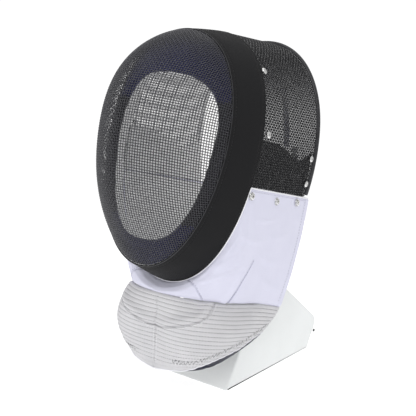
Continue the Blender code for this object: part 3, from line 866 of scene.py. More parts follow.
LINING = nap_finish("lining_cloth", (0.006, 0.006, 0.007), (0.014, 0.014, 0.016), 0.95, 0.10)
# Painted shade: dark grey for the padding's sides, deep behind the grazing wires.
PAD_SIDE_SHADE = nap_finish("padding_side_painted_shade", (0.014, 0.014, 0.017), (0.036, 0.036, 0.042), 0.95, 0.2)
# Dark navy for the panel below its corded edge: the turned backing, and painted shade on the
# underside.
LAME_BACKING_AND_SHADE = nap_finish("lame_backing_and_painted_shade", (0.008, 0.009, 0.022), (0.020, 0.022, 0.045), 0.9, 0.2)
LAME = lame_finish()
STEEL = hard_finish(
    "polished_steel", ((0.72, 0.72, 0.72), 0.20, 1.0, 0.5),
    ((0.58, 0.58, 0.58), (0.80, 0.80, 0.79)), (0.3, 0.7, 260.0),
    (0.12, 0.30, 1500.0, 4.0, 0.7), (0.00003, 0.4, 1500.0, 4.0, 0.7),
)
STAND = hard_finish(
    "stand_plastic", ((0.80, 0.82, 0.82), 0.42, 0.0, 0.45),
    ((0.79, 0.81, 0.81), (0.84, 0.86, 0.86)), (0.3, 0.7, 14.0, 4.0),
    (0.34, 0.52, 90.0, 5.0), (0.00005, 0.35, 1200.0),
)
MOULDED = hard_finish(
    "moulded_black", ((0.012, 0.012, 0.013), 0.42, 0.0, 0.45),
    ((0.010, 0.010, 0.011), (0.02, 0.02, 0.022)), (0.4, 0.7, 1000.0, 4.0),
    (0.34, 0.52, 1000.0, 4.0), (0.00006, 0.5, 1000.0, 4.0),
)
BLACK_THREAD = thread_finish("black_thread", (0.012, 0.012, 0.013), (0.03, 0.03, 0.032))
WHITE_THREAD = thread_finish("white_thread", (0.42, 0.42, 0.52), (0.58, 0.58, 0.68))
GREY_THREAD = thread_finish("grey_thread", (0.050, 0.050, 0.055), (0.12, 0.12, 0.13))
PALE_THREAD = thread_finish("pale_thread", (0.80, 0.80, 0.82), (0.92, 0.92, 0.93))


# ---------------------------------------------------------------- wires


def sample(grid, first, second, a, b):
    """Value of a grid at places between its lines."""
    i = np.interp(a, first, np.arange(len(first)))
    j = np.interp(b, second, np.arange(len(second)))
    i_low = np.clip(i.astype(int), 0, len(first) - 2)
    j_low = np.clip(j.astype(int), 0, len(second) - 2)
    di, dj = i - i_low, j - j_low
    if grid.ndim == 3:
        di, dj = di[..., None], dj[..., None]
    low = grid[i_low, j_low] * (1 - dj) + grid[i_low, j_low + 1] * dj
    high = grid[i_low + 1, j_low] * (1 - dj) + grid[i_low + 1, j_low + 1] * dj
    return low * (1 - di) + high * di


def runs(inside):
    """First and last index of each unbroken run of true values."""
    marks = np.flatnonzero(np.diff(np.concatenate([[0], inside.astype(int), [0]])))
    return list(zip(marks[::2], marks[1::2] - 1))


def level(target, rows, places, left=None, right=None):
    """Where each row of rising values reaches a target."""
    return np.array([np.interp(target, row, places, left=left, right=right) for row in rows])


def wire_spans(inside, lengths):
    """Unbroken spans of a wire: first and last place, slice, lengths and crossings."""
    for first, last in runs(inside):
        if last - first < 6:
            continue
        part = slice(first, last + 1)
        value = lengths(part)
        steps = np.arange(math.ceil(value[0] / HALF_PITCH), int(value[-1] // HALF_PITCH) + 1)
        if len(steps) >= 3:
            yield first, last, part, value, steps


def over_and_under(half_steps, number, radius):
    """Weave: up and down at the crossings, level between them."""
    crossing = half_steps % 2 == 0
    turn = np.where((half_steps // 2 + number) % 2 == 0, 1.0, -1.0)
    return np.where(crossing, turn * radius, 0.0)


def mirrored(line):
    flip = np.array([-1.0, 1.0, 1.0])
    return line[0] * flip, line[1] * flip


def with_mirror(line):
    """A line that starts on the plane of symmetry, joined to its mirror image."""
    other = mirrored(line)
    return tuple(np.vstack([other[part][:0:-1], line[part]]) for part in (0, 1))


def face_line(x, up, lift, ends):
    """A wire of the face: places on it, how far each is lifted, and its ends on the outline."""
    normals = face_normal(x, up)
    depth = 2 * FACE_WIRE_RADIUS
    points = face_to_world(x, up, bulge(x, up)) + normals * (lift - depth)[:, None]
    for at_start, (end_x, end_up) in ends:
        nearest = normals[0] if at_start else normals[-1]
        spot = face_to_world(end_x, end_up, 0.0) - nearest * depth
        points = np.vstack([spot, points] if at_start else [points, spot])
        normals = np.vstack([nearest, normals] if at_start else [normals, nearest])
    return points, normals


def face_wires():
    """Upright and cross wires of the face, evenly spaced along its surface."""
    x_axis = np.linspace(0.0, FACE_WIDTH * 0.515, 420)
    up_axis = FACE_HEIGHT / 2 * np.sin(np.linspace(-math.pi / 2, math.pi / 2, 801))
    x, up = np.meshgrid(x_axis, up_axis, indexing="ij")
    ahead = bulge(x, up)
    across = reach_grid(np.hypot(np.diff(x, axis=0), np.diff(ahead, axis=0)), 0)
    height = reach_grid(np.hypot(np.diff(up, axis=1), np.diff(ahead, axis=1)), 1)
    height -= height[:, 400:401]
    edge = half_width(up_axis / (FACE_HEIGHT / 2))

    uprights = []
    for number in range(int(across.max() / WIRE_PITCH)):
        wire = level(number * WIRE_PITCH, across.T, x_axis, right=9.0)
        for first, last, part, value, steps in wire_spans(
            wire < edge, lambda p: sample(height, x_axis, up_axis, wire[p], up_axis[p])
        ):
            at_x = np.interp(steps * HALF_PITCH, value, wire[part])
            at_up = np.interp(steps * HALF_PITCH, value, up_axis[part])
            ends = [(True, (edge[first], up_axis[first])), (False, (edge[last], up_axis[last]))]
            line = face_line(at_x, at_up, over_and_under(steps, number, FACE_WIRE_RADIUS), ends)
            uprights += [line, mirrored(line)] if number else [line]

    crossers = []
    for number in range(int(height.min() / WIRE_PITCH), int(height.max() / WIRE_PITCH) + 1):
        wire = level(number * WIRE_PITCH, height, up_axis, 9.0, 9.0)
        share = np.clip(wire / (FACE_HEIGHT / 2), -1.0, 1.0)
        found = runs((np.abs(wire) < FACE_HEIGHT / 2) & (x_axis < half_width(share)))
        if not found or found[0][0] > 0 or found[0][1] < 4:
            continue
        last = found[0][1]
        place, wire = x_axis[: last + 1], wire[: last + 1]
        value = sample(across, x_axis, up_axis, place, wire)
        steps = np.arange(int(value[-1] // HALF_PITCH) + 1)
        at_x = np.interp(steps * HALF_PITCH, value, place)
        at_up = np.interp(steps * HALF_PITCH, value, wire)
        lift = over_and_under(steps, number, -FACE_WIRE_RADIUS)
        end = (float(half_width(share[last])), wire[last])
        crossers.append(with_mirror(face_line(at_x, at_up, lift, [(False, end)])))
    return uprights, crossers


def hood_line(share, back, lift):
    normals = hood_normal(share, back)
    points = hood_point(share, back)
    return points + normals * (lift - 2 * HOOD_WIRE_RADIUS)[:, None], normals


def hood_wires():
    """Wires of the hood: from the band back to the rim, and round parallel to the rim."""
    shares, backs = np.linspace(0.0, 1.0, 241), np.linspace(0.0, 1.0, 121)
    grid = hood_point(shares[:, None], backs[None, :])
    across = reach_grid(np.linalg.norm(np.diff(grid, axis=0), axis=-1), 0)
    reach = reach_grid(np.linalg.norm(np.diff(grid, axis=1), axis=-1), 1)
    from_rim = reach[:, -1:] - reach

    def crossing_line(at, value, share, back, lift):
        return hood_line(np.interp(at, value, share), np.interp(at, value, back), lift)

    lengthwise = []
    for number in range(int(across.max() / WIRE_PITCH) + 1):
        wire = level(number * WIRE_PITCH, across.T, shares, right=9.0)
        for _, _, part, value, steps in wire_spans(
            wire < 1.0, lambda p: sample(from_rim, shares, backs, wire[p], backs[p])[::-1]
        ):
            at = np.append(steps * HALF_PITCH, value[-1])
            lift = np.append(over_and_under(steps, number, HOOD_WIRE_RADIUS), 0.0)
            made = crossing_line(at, value, wire[part][::-1], backs[part][::-1], lift)
            lengthwise += [made, mirrored(made)] if number else [made]

    roundwise = []
    for number in range(1, int(from_rim.max() / WIRE_PITCH) + 1):
        wire = level(number * WIRE_PITCH, from_rim[:, ::-1], backs[::-1], right=-9.0)
        for first, _, part, value, steps in wire_spans(
            wire > 0.0, lambda p: sample(across, shares, backs, shares[p], wire[p])
        ):
            at = np.append(steps * HALF_PITCH, value[-1])
            lift = np.append(over_and_under(steps, number, -HOOD_WIRE_RADIUS), 0.0)
            made = crossing_line(at, value, shares[part], wire[part], lift)
            roundwise += [made, mirrored(made)] if first else [with_mirror(made)]
    return lengthwise, roundwise


def toward_head(centres, normals):
    """The half of each hood wire that faces the head."""
    spokes = centres - (0.0, 0.0, FACE_ABOVE_FOOT + 0.04)
    spokes[:, 1] = 0.0
    spokes[:, 2] = np.maximum(spokes[:, 2], 0.0)
    return (unit(spokes) * normals).sum(axis=1) < 0.0


def make_wires():
    """Woven wires. The inner half of each hood wire carries painted light: light grey, as if lit
    from inside.
    """
    for name, wires in zip(("face_wires_upright", "face_wires_across"), face_wires()):
        thing = tube_mesh(name, wires, FACE_WIRE_RADIUS, FACE_WIRE)
        piece(thing, "wire_mesh", "front_mesh")
    for name, wires in zip(("hood_wires_lengthwise", "hood_wires_around"), hood_wires()):
        thing = tube_mesh(name, wires, HOOD_WIRE_RADIUS, HOOD_WIRE)
        # Painted light on the half of each hood wire that faces the head.
        paint(thing, PAINTED_LIGHT_WIRE, toward_head)
        piece(thing, "wire_mesh", "hood_mesh")


# ---------------------------------------------------------------- band and binding


def make_band():
    """Cloth band with a rolled front edge, a soft crown and a sewn row along each edge."""
    angles = circle(BAND_STEPS)
    shares = np.concatenate([
        np.linspace(-0.026, 0.14, 12), np.linspace(0.18, 0.84, 12), np.linspace(0.87, 1.0, 10)
    ])
    base = band_point(angles[None], shares[:, None])
    normals = grid_normals(base, loop=True)
    spread = np.stack([np.sin(angles), 0.0 * angles, np.cos(angles)], axis=-1)
    if (normals * spread[None]).sum() < 0:
        normals = -normals
    share = shares[:, None] + 0.0 * angles[None]
    relief = 0.0004 + 0.0006 * (1 - np.abs(2 * np.clip(share, 0, 1) - 1) ** 4)
    for at in BAND_SEAM_SHARES:
        relief += groove((share - at) * BAND_DEPTH, 0.00035, 0.0009)
    waves = np.sin(angles[None] * 9 + 1.3) * 0.6 + np.sin(angles[None] * 17 + share * 3) * 0.4
    relief += 0.00018 * waves * np.sin(math.pi * np.clip(share, 0, 1))
    outer = base + normals * relief[..., None]
    perimeter = float(np.linalg.norm(np.diff(base[0], axis=0), axis=-1).sum())
    band = shell_mesh(
        "band_cloth", outer, base - normals * BAND_WALL, TRIM, loop=True,
        uv_scale=(perimeter, 0.05),
    )

    def inside(centres, facing):
        spokes = (centres - (0.0, 0.0, FACE_ABOVE_FOOT)) * (1.0, 0.0, 1.0)
        return (unit(spokes) * facing).sum(axis=1) < -0.5

    paint(band, FACING, inside)
    piece(band, "trim", "trim_band")

    def closed(row):
        return np.vstack([row, row[:1]])

    lines = []
    for at in BAND_SEAM_SHARES:
        row = int(np.abs(shares - at).argmin())
        lines += stitches(closed(outer[row]), closed(normals[row]))
    piece(tube_mesh("band_stitches", lines, THREAD_RADIUS, BLACK_THREAD), "trim")

    out = closed(normals[0])
    front = band_point(np.linspace(0.0, 2 * math.pi, BAND_STEPS + 1), -0.030) + out * 0.0003
    piece(tube_mesh("band_front_cord", [(front, out)], BAND_CORD_RADIUS, VINYL, sides=8), "trim")


def make_binding():
    """Folded binding over the rear rim, faced in light cloth inside, with a sewn row."""
    shares = np.linspace(-BINDING_END_SHARE, BINDING_END_SHARE, 181)
    line = hood_point(shares, 1.0)
    normals = hood_normal(shares, 1.0 + 0.0 * shares)
    binding = tube_mesh(
        "binding_fold", [(line, normals)], BINDING_RADIUS, VINYL, sides=18, squash=0.86
    )

    def inside(centres, _):
        near = np.linalg.norm(centres[:, None] - line, axis=2).argmin(axis=1)
        offset = centres - line[near]
        inward = (offset * normals[near]).sum(axis=1)
        return (inward < -0.15 * BINDING_RADIUS) & (offset[:, 1] < 0.5 * BINDING_RADIUS)

    paint(binding, FACING, inside)
    piece(binding, "binding", "rear_binding")
    ahead = unit(hood_point(shares, 0.0 * shares) - line)
    seat = line + ahead * BINDING_RADIUS * 0.62 + normals * BINDING_RADIUS * 0.66
    sewn = stitches(seat, normals, 0.0030, 0.0014)
    piece(tube_mesh("binding_stitches", sewn, THREAD_RADIUS, BLACK_THREAD), "binding")


# ---------------------------------------------------------------- padding and linings


def window(angle):
    """Outline of the opening in the padding: across and up."""
    power = 2 / WINDOW_ROUND_POWER
    across, up = signed_power(np.sin(angle), power), signed_power(np.cos(angle), power)
    x = (FACE_WIDTH / 2 - PAD_SIDE_PRESSED) * across * (1 + WINDOW_TAPER * up)
    reach = (FACE_HEIGHT - PAD_CHIN_WIDTH - PAD_BROW_WIDTH) / 2 + WINDOW_EASE
    return x, (PAD_CHIN_WIDTH - PAD_BROW_WIDTH) / 2 + WINDOW_EASE + reach * up


def make_padding():
    """Foam ring inside the face, with a rolled window edge: navy, with painted shade in dark grey
    at its sides.
    """
    angles = circle(PAD_STEPS)
    inner = np.array(window(angles))
    rim = np.array(outline(angles)) - PAD_EDGE_INSET * np.array(outline_normal(angles))
    share = np.linspace(0.0, 1.0, 17)[:, None]
    x, up = (inner[k] + (rim[k] - inner[k]) * share for k in (0, 1))
    beside = np.clip(np.abs(x) / (FACE_WIDTH / 2 - PAD_SIDE_PRESSED), 0.0, 1.0) ** 2
    deeper = PAD_MIDDLE_DEEPER + (PAD_SIDES_DEEPER - PAD_MIDDLE_DEEPER) * beside
    base = face_to_world(x, up, bulge(x, up) * (PAD_LIFT_SHARE - deeper))
    normals = grid_normals(base, loop=True)
    if (normals @ turn_to_world(np.array([0.0, 0.0, 1.0]))).mean() < 0:
        normals = -normals
    width = np.hypot(*(rim - inner))
    puff = np.clip(width / PAD_BROW_WIDTH, 0.3, 1.0) * 0.0030 * np.sin(math.pi * share) ** 0.8
    puff = puff + groove((share - 0.22) * width, 0.0009, 0.0020)
    outer = base + normals * puff[..., None]
    inner = base - normals * (PAD_WALL + 0.6 * puff)[..., None]
    ring = shell_mesh("face_padding", outer, inner, NAVY, loop=True, edge_round=0.5)

    # Painted shade: the faces at the padding's sides that take the dark grey.
    def in_side_shade(centres, _):
        up = centres[:, 2] - FACE_ABOVE_FOOT
        beside = np.abs(centres[:, 0]) > PAD_SHADE_BESIDE
        return (up > PAD_SHADE_FROM) & (up < PAD_SHADE_TO) & beside

    paint(ring, PAD_SIDE_SHADE, in_side_shade)
    piece(ring, "navy_padding", "padding_ring")


def make_lining(name, node, side):
    """Black padded cheek lining, quilted in diamonds, faced in white toward the head."""
    table = np.array(LINING_TOP)
    backs, across = np.linspace(0.005, 0.978, 41), np.linspace(0.0, 1.0, 31)[:, None]
    start = np.interp(backs, table[:, 0], table[:, 1])
    for _ in range(3):
        start[1:-1] = (start[:-2] + start[2:] + 2 * start[1:-1]) / 4
    shares = side * (start + (0.997 - start) * across)
    backs = backs + 0.0 * shares
    normals = hood_normal(shares, backs)
    base = hood_point(shares, backs) - (MESH_WALL + LINING_SETBACK) * normals
    u, v = across * 0.060, backs * 0.130
    quilt = np.abs(np.sin(math.pi * (u + v) / LINING_QUILT))
    quilt = quilt * np.abs(np.sin(math.pi * (u - v) / LINING_QUILT))
    edge = np.sin(math.pi * np.clip(across, 0.02, 0.98)) ** 0.3
    edge = edge * np.sin(math.pi * backs / 0.97).clip(0.0) ** 0.3
    inner = base - normals * (LINING_WALL * (0.6 + 0.9 * edge * quilt ** 0.5))[..., None]
    pad = shell_mesh(name, base - normals * 0.0002, inner, LINING, edge_round=0.5)
    out = normals.mean(axis=(0, 1))

    def hidden(_, facing):
        return (facing @ out < -0.35) | (facing[:, 2] < -0.6) | (facing[:, 1] < -0.6)

    paint(pad, FACING, hidden)
    piece(pad, "black_lining", node)


def make_tongue():
    """Navy cloth-covered strip behind the head, crowned across."""
    root = hood_point(np.array([0.0]), np.array([TONGUE_ROOT_SHARE]))[0]
    rim = rim_line()[0]
    steps = np.linspace(0.0, 1.0, 61)
    back = root[1] + (rim[1] + TONGUE_REACH - root[1]) * np.sin(steps * math.pi / 2)
    crown = root[2] + (rim[2] - root[2]) * np.clip((back - root[1]) / (rim[1] - root[1]), 0.0, 1.0)
    clear = MESH_WALL + FIT + 0.0006 + (BINDING_RADIUS + FIT) * np.clip(steps / 0.15, 0.0, 1.0)
    half = (TONGUE_WIDTH + (TONGUE_ROOT_WIDTH - TONGUE_WIDTH) * (1 - steps) ** 3) / 2
    fall = TONGUE_DROP * steps ** 2.2
    place = np.linspace(-1.0, 1.0, 11)[:, None]
    x = place * half
    z = (crown - clear - fall)[None] - x ** 2 / RIM_WIDTH * 2
    line = np.stack([x, back[None] + 0.0 * x, z], axis=-1)
    normals = grid_normals(line)
    normals = np.where(normals[..., 2:] + normals[..., 1:2] < 0, -normals, normals)
    round_edge = np.sqrt(np.clip(1 - place ** 2, 0.0, 1.0))
    outer = line - normals * (TONGUE_WALL * 0.28 * (1 - round_edge))[..., None]
    inner = line - normals * (TONGUE_WALL * (0.72 + 0.28 * round_edge))[..., None]
    strip = shell_mesh("tongue_cover", outer, inner, NAVY, edge_round=0.3)
    piece(strip, "navy_padding", "back_tongue")


def make_clip():
    """Small moulded clip on the lining's top edge: a waisted body, a slot bar and a knob."""
    table = np.array(LINING_TOP)
    top = np.interp(CLIP_ALONG_SHARE, table[:, 0], table[:, 1])
    wide, deep, tall = CLIP_SIZE
    inset = MESH_WALL + LINING_SETBACK + LINING_WALL + 2 * FIT + wide / 2
    at, back = np.array([top]), np.array([CLIP_ALONG_SHARE])
    centre = hood_point(at - 0.03, back)[0] - inset * hood_normal(at - 0.03, back)[0]
    turn = np.array(Vector(hood_normal(at, back)[0]).to_track_quat("X", "Z").to_matrix())
    ring = circle(CLIP_STEPS)
    across, aside = signed_power(np.cos(ring), 0.5), signed_power(np.sin(ring), 0.5)
    rows = []
    for height, share in CLIP_ROWS:
        x = wide / 2 * across * min(share + 0.15, 1.0)
        rows.append(np.stack([x, deep / 2 * aside * share, 0.0 * x + height * tall], axis=-1))
    points = np.concatenate(rows) @ turn.T + centre
    faces = bar_faces(number_grid(len(rows), len(ring)))
    clip = face_outward(add_mesh("clip_body", points, faces, MOULDED, sharp=40))
    piece(clip, "clip_plastic", "lining_clip")


# ---------------------------------------------------------------- bib and panel


def seam_on(surface, table, spacing=0.012):
    """A seam's places on a surface: shares, downs and points, closely spaced."""
    shares, downs = resample(table, spacing).T
    return shares, downs, surface(shares, downs)


def right_side(points):
    return points * np.where(points[..., :1] < 0, (-1.0, 1.0, 1.0), 1.0)


def groove(distance, depth, half_width_m):
    return -depth * np.exp(-((distance / half_width_m) ** 2))


def ridge(distance, height, at, half_width_m):
    return height * np.exp(-(((distance - at) / half_width_m) ** 2))


def edge_of(surface, down):
    """A dense line across the right half of a bib surface."""
    places = np.linspace(0.0, 1.0, 150)
    return surface(places, down + 0.0 * places)


def bib_relief(share, down, points):
    """Height of the white cloth over its plain surface: dart, seam, hem, wrinkles."""
    share = np.abs(share)
    points = right_side(points)
    relief = 0.00025 * np.sin(share * 23 + down * 7) * np.sin(down * 11 + share * 5)

    dart_share, dart_down, dart = seam_on(bib_point, BIB_DART)
    distance = distance_to_line(points, dart)
    ahead_of = np.interp(down, dart_down, dart_share) - share
    fade = np.clip((down - 0.54) / 0.12, 0.0, 1.0)
    bank = np.where(ahead_of > 0, 0.0022, 0.0004)
    relief += fade * (groove(distance, 0.0030, 0.0013) + ridge(distance, bank, 0.0040, 0.0050))

    _, _, seam = seam_on(bib_point, BIB_SEAM)
    distance = distance_to_line(points, seam)
    relief += groove(distance, 0.0014, 0.0011) + ridge(distance, 0.0006, 0.0, 0.006)

    rows = np.linspace(0.0, 1.0, 80)
    rear = distance_to_line(points, bib_point(1.0 + 0.0 * rows, rows))
    relief += groove(rear - BIB_HEM_TURN, 0.0010, 0.0011)
    relief += 0.0005 * np.clip(1 - rear / BIB_HEM_TURN, 0.0, 1.0) ** 0.5
    relief += groove(distance_to_line(points, edge_of(bib_point, 1.0)), 0.0013, 0.0030)
    relief += groove(distance_to_line(points, edge_of(bib_point, 0.0)), 0.0009, 0.0025)

    for at, low, half_long, half_wide, height, tilt in BIB_WRINKLES:
        spots = bib_point(np.array([at, at + 0.01, at]), np.array([low, low, low + 0.01]))
        centre, (onward, below) = spots[0], spots[1:] - spots[0]
        first_way = unit(onward)
        second_way = unit(below - (below @ first_way) * first_way)
        angle = math.radians(tilt)
        first = first_way * math.cos(angle) + second_way * math.sin(angle)
        second = second_way * math.cos(angle) - first_way * math.sin(angle)
        gap = points - centre
        a, b = gap @ first / half_long, gap @ second / half_wide
        b = b + 0.5 * a * a
        relief += 1.7 * height * np.exp(-(a * a + b * b)) * (1.0 - 0.7 * b)
    return relief


def on_cloth(surface, relief, share, down):
    """Plain surface, its normals, and the surface with its relief."""
    base = surface(share, down)
    normals = surface_normals(surface, share, down)
    return base, normals, base + normals * relief(share, down, base)[..., None]


def thread_on(surface, relief, share, down, length=STITCH_LENGTH, gap=STITCH_GAP):
    _, normals, points = on_cloth(surface, relief, share, down)
    return stitches(points, normals, length, gap)


def cloth_seam(surface, relief, share, down, lift=0.0001):
    """A line laid on the cloth: its points and normals."""
    _, out, line = on_cloth(surface, relief, share, down)
    return line + out * lift, out


def make_bib():
    shares, downs = np.meshgrid(np.linspace(-1.0, 1.0, 641), np.linspace(0.014, 0.996, 101))
    base, normals, outer = on_cloth(bib_point, bib_relief, shares, downs)
    bib = cloth_mesh("bib_cloth", outer, base - normals * BIB_WALL, WHITE, (0.53, 0.15))
    fine = (shares.shape[0] - 1) * (shares.shape[1] - 1)

    def inner_side(centres, _):
        number = np.arange(len(centres))
        return (number >= fine) & (number < fine + fine // 16)

    paint(bib, FACING, inner_side)
    piece(bib, "white_cloth", "bib")

    on_bib = (bib_point, bib_relief)
    rows, along_top = np.linspace(0.03, 0.98, 160), np.linspace(0.46, 0.985, 140)
    lengths = (BIB_TOP_HALF_LENGTH, BIB_LOW_HALF_LENGTH)
    lines = []
    for side in (-1.0, 1.0):
        for turn in (BIB_HEM_TURN, BIB_HEM_TURN + 0.0030):
            edge = 1 - turn / np.interp(rows, (0.0, 1.0), lengths)
            lines += thread_on(*on_bib, side * edge, rows)
        for table, offset in ((BIB_SEAM, 0.007), (BIB_DART, 0.009)):
            at, down = resample(table).T
            lines += thread_on(*on_bib, side * (at + offset), down)
        lines += thread_on(*on_bib, side * along_top, 0.0 * along_top + 0.030)
        for table in (BIB_SEAM, BIB_DART):
            at, down = resample(table).T
            lines.append(cloth_seam(*on_bib, side * at, down))
    piece(tube_mesh("bib_stitches", lines, BIB_THREAD_RADIUS, WHITE_THREAD), "white_cloth")

    places = np.linspace(-0.995, 0.995, 420)
    top = bib_point(places, 0.0 * places + 0.006)
    out = surface_normals(bib_point, places, 0.0 * places + 0.01)
    line = (top - out * 0.0002, out)
    piece(tube_mesh("bib_piping", [line], PIPING_RADIUS, PIPING, sides=8), "white_cloth")


# Length down the panel's surface from its top edge, by place.
LAME_SHARES = np.linspace(0.0, 1.0, 101)
LAME_DOWNS = np.linspace(0.0, 1.0, 161)
LAME_LENGTHS = reach_grid(
    np.linalg.norm(np.diff(lame_point(LAME_SHARES[:, None], LAME_DOWNS[None]), axis=1), axis=-1), 1
)


def lame_relief(share, down, points):
    """Height of the panel over its plain surface: stitched rows, crease, seam, hem."""
    side = np.abs(share)
    points = right_side(points)
    phase = sample(LAME_LENGTHS, LAME_SHARES, LAME_DOWNS, side, down) / LAME_ROW_PITCH
    off = (phase - np.round(phase)) * LAME_ROW_PITCH
    relief = groove(off, LAME_ROW_DEPTH, 0.0007) + 0.00007 * np.cos(2 * math.pi * phase + math.pi)
    relief += 0.0004 * np.sin(side * 15 + down * 4) * np.sin(down * 9 + side * 3 + 0.7)

    crease_share, crease_down, crease = seam_on(lame_point, LAME_CREASE, 0.006)
    distance = distance_to_line(points, crease)
    line = np.interp(side, crease_share, crease_down, right=-0.2)
    above = np.clip((line - down) / 0.02 + 0.5, 0.0, 1.0)
    relief += groove(distance, 0.0016, 0.0012)
    relief += above * ridge(distance, 0.0030, 0.0055, 0.0065)
    relief += (1 - above) * ridge(distance, 0.0014, 0.0026, 0.0016)

    relief += (0.35 + 0.65 * (1 - above)) * groove(np.abs(points[..., 0]), 0.0008, 0.0010)
    hem = distance_to_line(points, edge_of(lame_point, 1.0))
    relief += groove(hem - LAME_HEM_TURN, 0.0004, 0.0010)
    relief += 0.0005 * np.clip(1 - hem / LAME_HEM_TURN, 0.0, 1.0) ** 0.5
    relief += groove(distance_to_line(points, edge_of(lame_point, 0.0)), 0.0012, 0.0020)
    return relief


def lame_zigzag(side, steps, least):
    """A zigzag row of thread above the panel's turned edge."""
    edge = resample(LAME_EDGE)
    edge = edge[edge[:, 0] > 0.17]
    zigzag = np.abs((np.arange(len(edge)) / steps) % 2 - 1)
    reach = np.interp(edge[:, 0], LAME_SHARES, LAME_LENGTHS[:, -1])
    height = least + (LAME_ZIGZAG_TOP - least) * zigzag
    down = np.clip(edge[:, 1] - height / reach, 0.03, 1.0)
    return cloth_seam(lame_point, lame_relief, side * edge[:, 0], down)


def lame_row_threads():
    """Stitches of the panel's rows, each at one length down the panel."""
    made = []
    limit = 1.0 - LAME_HEM_TURN / LAME_LENGTHS[:, -1]
    for number in range(1, int(LAME_LENGTHS.max() / LAME_ROW_PITCH) + 1):
        row = level(number * LAME_ROW_PITCH, LAME_LENGTHS, LAME_DOWNS, right=9.0)
        for first, last in runs(row < limit):
            if last - first < 3:
                continue
            fine = np.linspace(LAME_SHARES[first], LAME_SHARES[last], 3 * (last - first))
            down = np.interp(fine, LAME_SHARES[first : last + 1], row[first : last + 1])
            for side in (-1.0, 1.0):
                made += thread_on(lame_point, lame_relief, side * fine, down, 0.0030, 0.0007)
    return made


def make_lame():
    """Grey panel with stitched rows, seams and a corded edge; below that edge it is dark navy: its
    turned backing, and painted shade on its underside.
    """
    shares, downs = np.meshgrid(np.linspace(-1.0, 1.0, 441), np.linspace(0.004, 1.0, 137))
    on_lame = (lame_point, lame_relief)
    base, normals, outer = on_cloth(*on_lame, shares, downs)
    panel = cloth_mesh("lame_cloth", outer, base - normals * LAME_WALL, LAME, (0.42, 0.10))
    middle = np.abs(shares[:-1, :-1] + shares[1:, 1:]) / 2
    lower = (downs[:-1, :-1] + downs[1:, 1:]) / 2
    under_edge = (lower > np.interp(middle, *np.array(LAME_EDGE).T)).ravel()

    # Faces below the corded edge take the dark navy of the backing and the painted shade.
    def in_backing_and_shade(centres, _):
        return np.append(under_edge, np.zeros(len(centres) - len(under_edge), dtype=bool))

    paint(panel, LAME_BACKING_AND_SHADE, in_backing_and_shade)
    piece(panel, "lame", "lame_panel")

    sides = (-1.0, 1.0)
    rows = lame_row_threads()
    down = np.linspace(0.03, 0.97, 150)
    rows += thread_on(*on_lame, 0.003 + 0.0 * down, down, 0.0020, 0.0022)
    rows += [lame_zigzag(side, 4.0, 0.0105) for side in sides]
    piece(tube_mesh("lame_rows", rows, ROW_THREAD_RADIUS, GREY_THREAD), "lame")

    lines = []
    at, down = resample(LAME_CREASE).T
    for side in sides:
        lines += thread_on(*on_lame, side * at, down + 0.026, 0.0028, 0.0013)
    down = np.linspace(0.52, 0.93, 90)
    for share in (-0.012, 0.012):
        lines += thread_on(*on_lame, share + 0.0 * down, down)
    lines += [lame_zigzag(side, 3.0, 0.0095) for side in sides]
    piece(tube_mesh("lame_seams", lines, SEAM_THREAD_RADIUS, PALE_THREAD), "lame")

    at, down = resample(LAME_EDGE, 0.01).T
    for side, word in ((1.0, "right"), (-1.0, "left")):
        line = cloth_seam(*on_lame, side * at, down, 0.0003)
        piece(tube_mesh("lame_hem_cord_" + word, [line], HEM_CORD_RADIUS, PIPING, 8), "lame")


# ---------------------------------------------------------------- studs and stand


def sized(profile, radius, height):
    return [(across * radius, up * height) for across, up in profile]


def make_studs():
    """Snaps and rivets, each with its sunken middle painted dark as painted shade."""
    for name, word, numbers, surface, table, lift, profile, radius, height, well in (
        ("bib_snaps", "snap", (1, 2, 3), bib_point, SNAPS, FIT + 0.0003, SNAP_OUTLINE,
         SNAP_RADIUS * SNAP_DRAWN_WIDER, SNAP_HEIGHT, 0.31),
        ("hood_rivets", "rivet", (1, 2, 3, 4), hood_point, RIVETS, FIT + 0.0011, RIVET_OUTLINE,
         RIVET_RADIUS, RIVET_HEIGHT, 0.29),
    ):
        share, down = np.array([(side * at, low) for side in (1, -1) for at, low in table]).T
        normals = surface_normals(surface, share, down, 0.01)
        spots = surface(share, down) + normals * lift
        profile = sized(profile, radius, height)
        studs = turned_mesh(name, profile, list(zip(spots, normals)), STEEL, 28)

        # Painted shade: the sunken middle of each stud takes the dark moulded finish.
        def painted_shade_well(centres, _, spots=spots, normals=normals, reach=well * radius):
            near = np.linalg.norm(centres[:, None] - spots, axis=2).argmin(axis=1)
            offset = centres - spots[near]
            up = (offset * normals[near]).sum(axis=1, keepdims=True)
            level_part = np.linalg.norm(offset - up * normals[near], axis=1)
            return (up[:, 0] > 0) & (level_part < reach)

        paint(studs, MOULDED, painted_shade_well)
        nodes = [f"{word}_{side}_{number}" for side in ("right", "left") for number in numbers]
        piece(studs, "steel", *nodes)


def stand_profile():
    """Side outline of the stand: back and up."""
    half = STAND_DEPTH / 2
    face = math.tan(STAND_FACE_SLOPE)
    top = math.tan(STAND_TOP_SLOPE)
    rear_y = half + STAND_REAR_HEIGHT / face
    peak = (rear_y + half + STAND_REAR_HEIGHT / top) / (1 / face + 1 / top)
    return [(-half, 0.0), (half, 0.0), (rear_y, STAND_REAR_HEIGHT), (-half + peak / face, peak)]


def rounded_outline(corners, radii, steps=8):
    """A polygon with its corners rounded, each by its own radius."""
    points = []
    count = len(corners)
    for number, corner in enumerate(corners):
        here = np.array(corner)
        before = unit(np.array(corners[number - 1]) - here)
        after = unit(np.array(corners[(number + 1) % count]) - here)
        opening = math.acos(float(np.clip(before @ after, -1.0, 1.0)))
        cut = radii[number] / math.tan(opening / 2)
        start, end = here + before * cut, here + after * cut
        for share in np.linspace(0.0, 1.0, steps):
            a = start + (here - start) * share
            b = here + (end - here) * share
            points.append(a + (b - a) * share)
    return np.array(points)


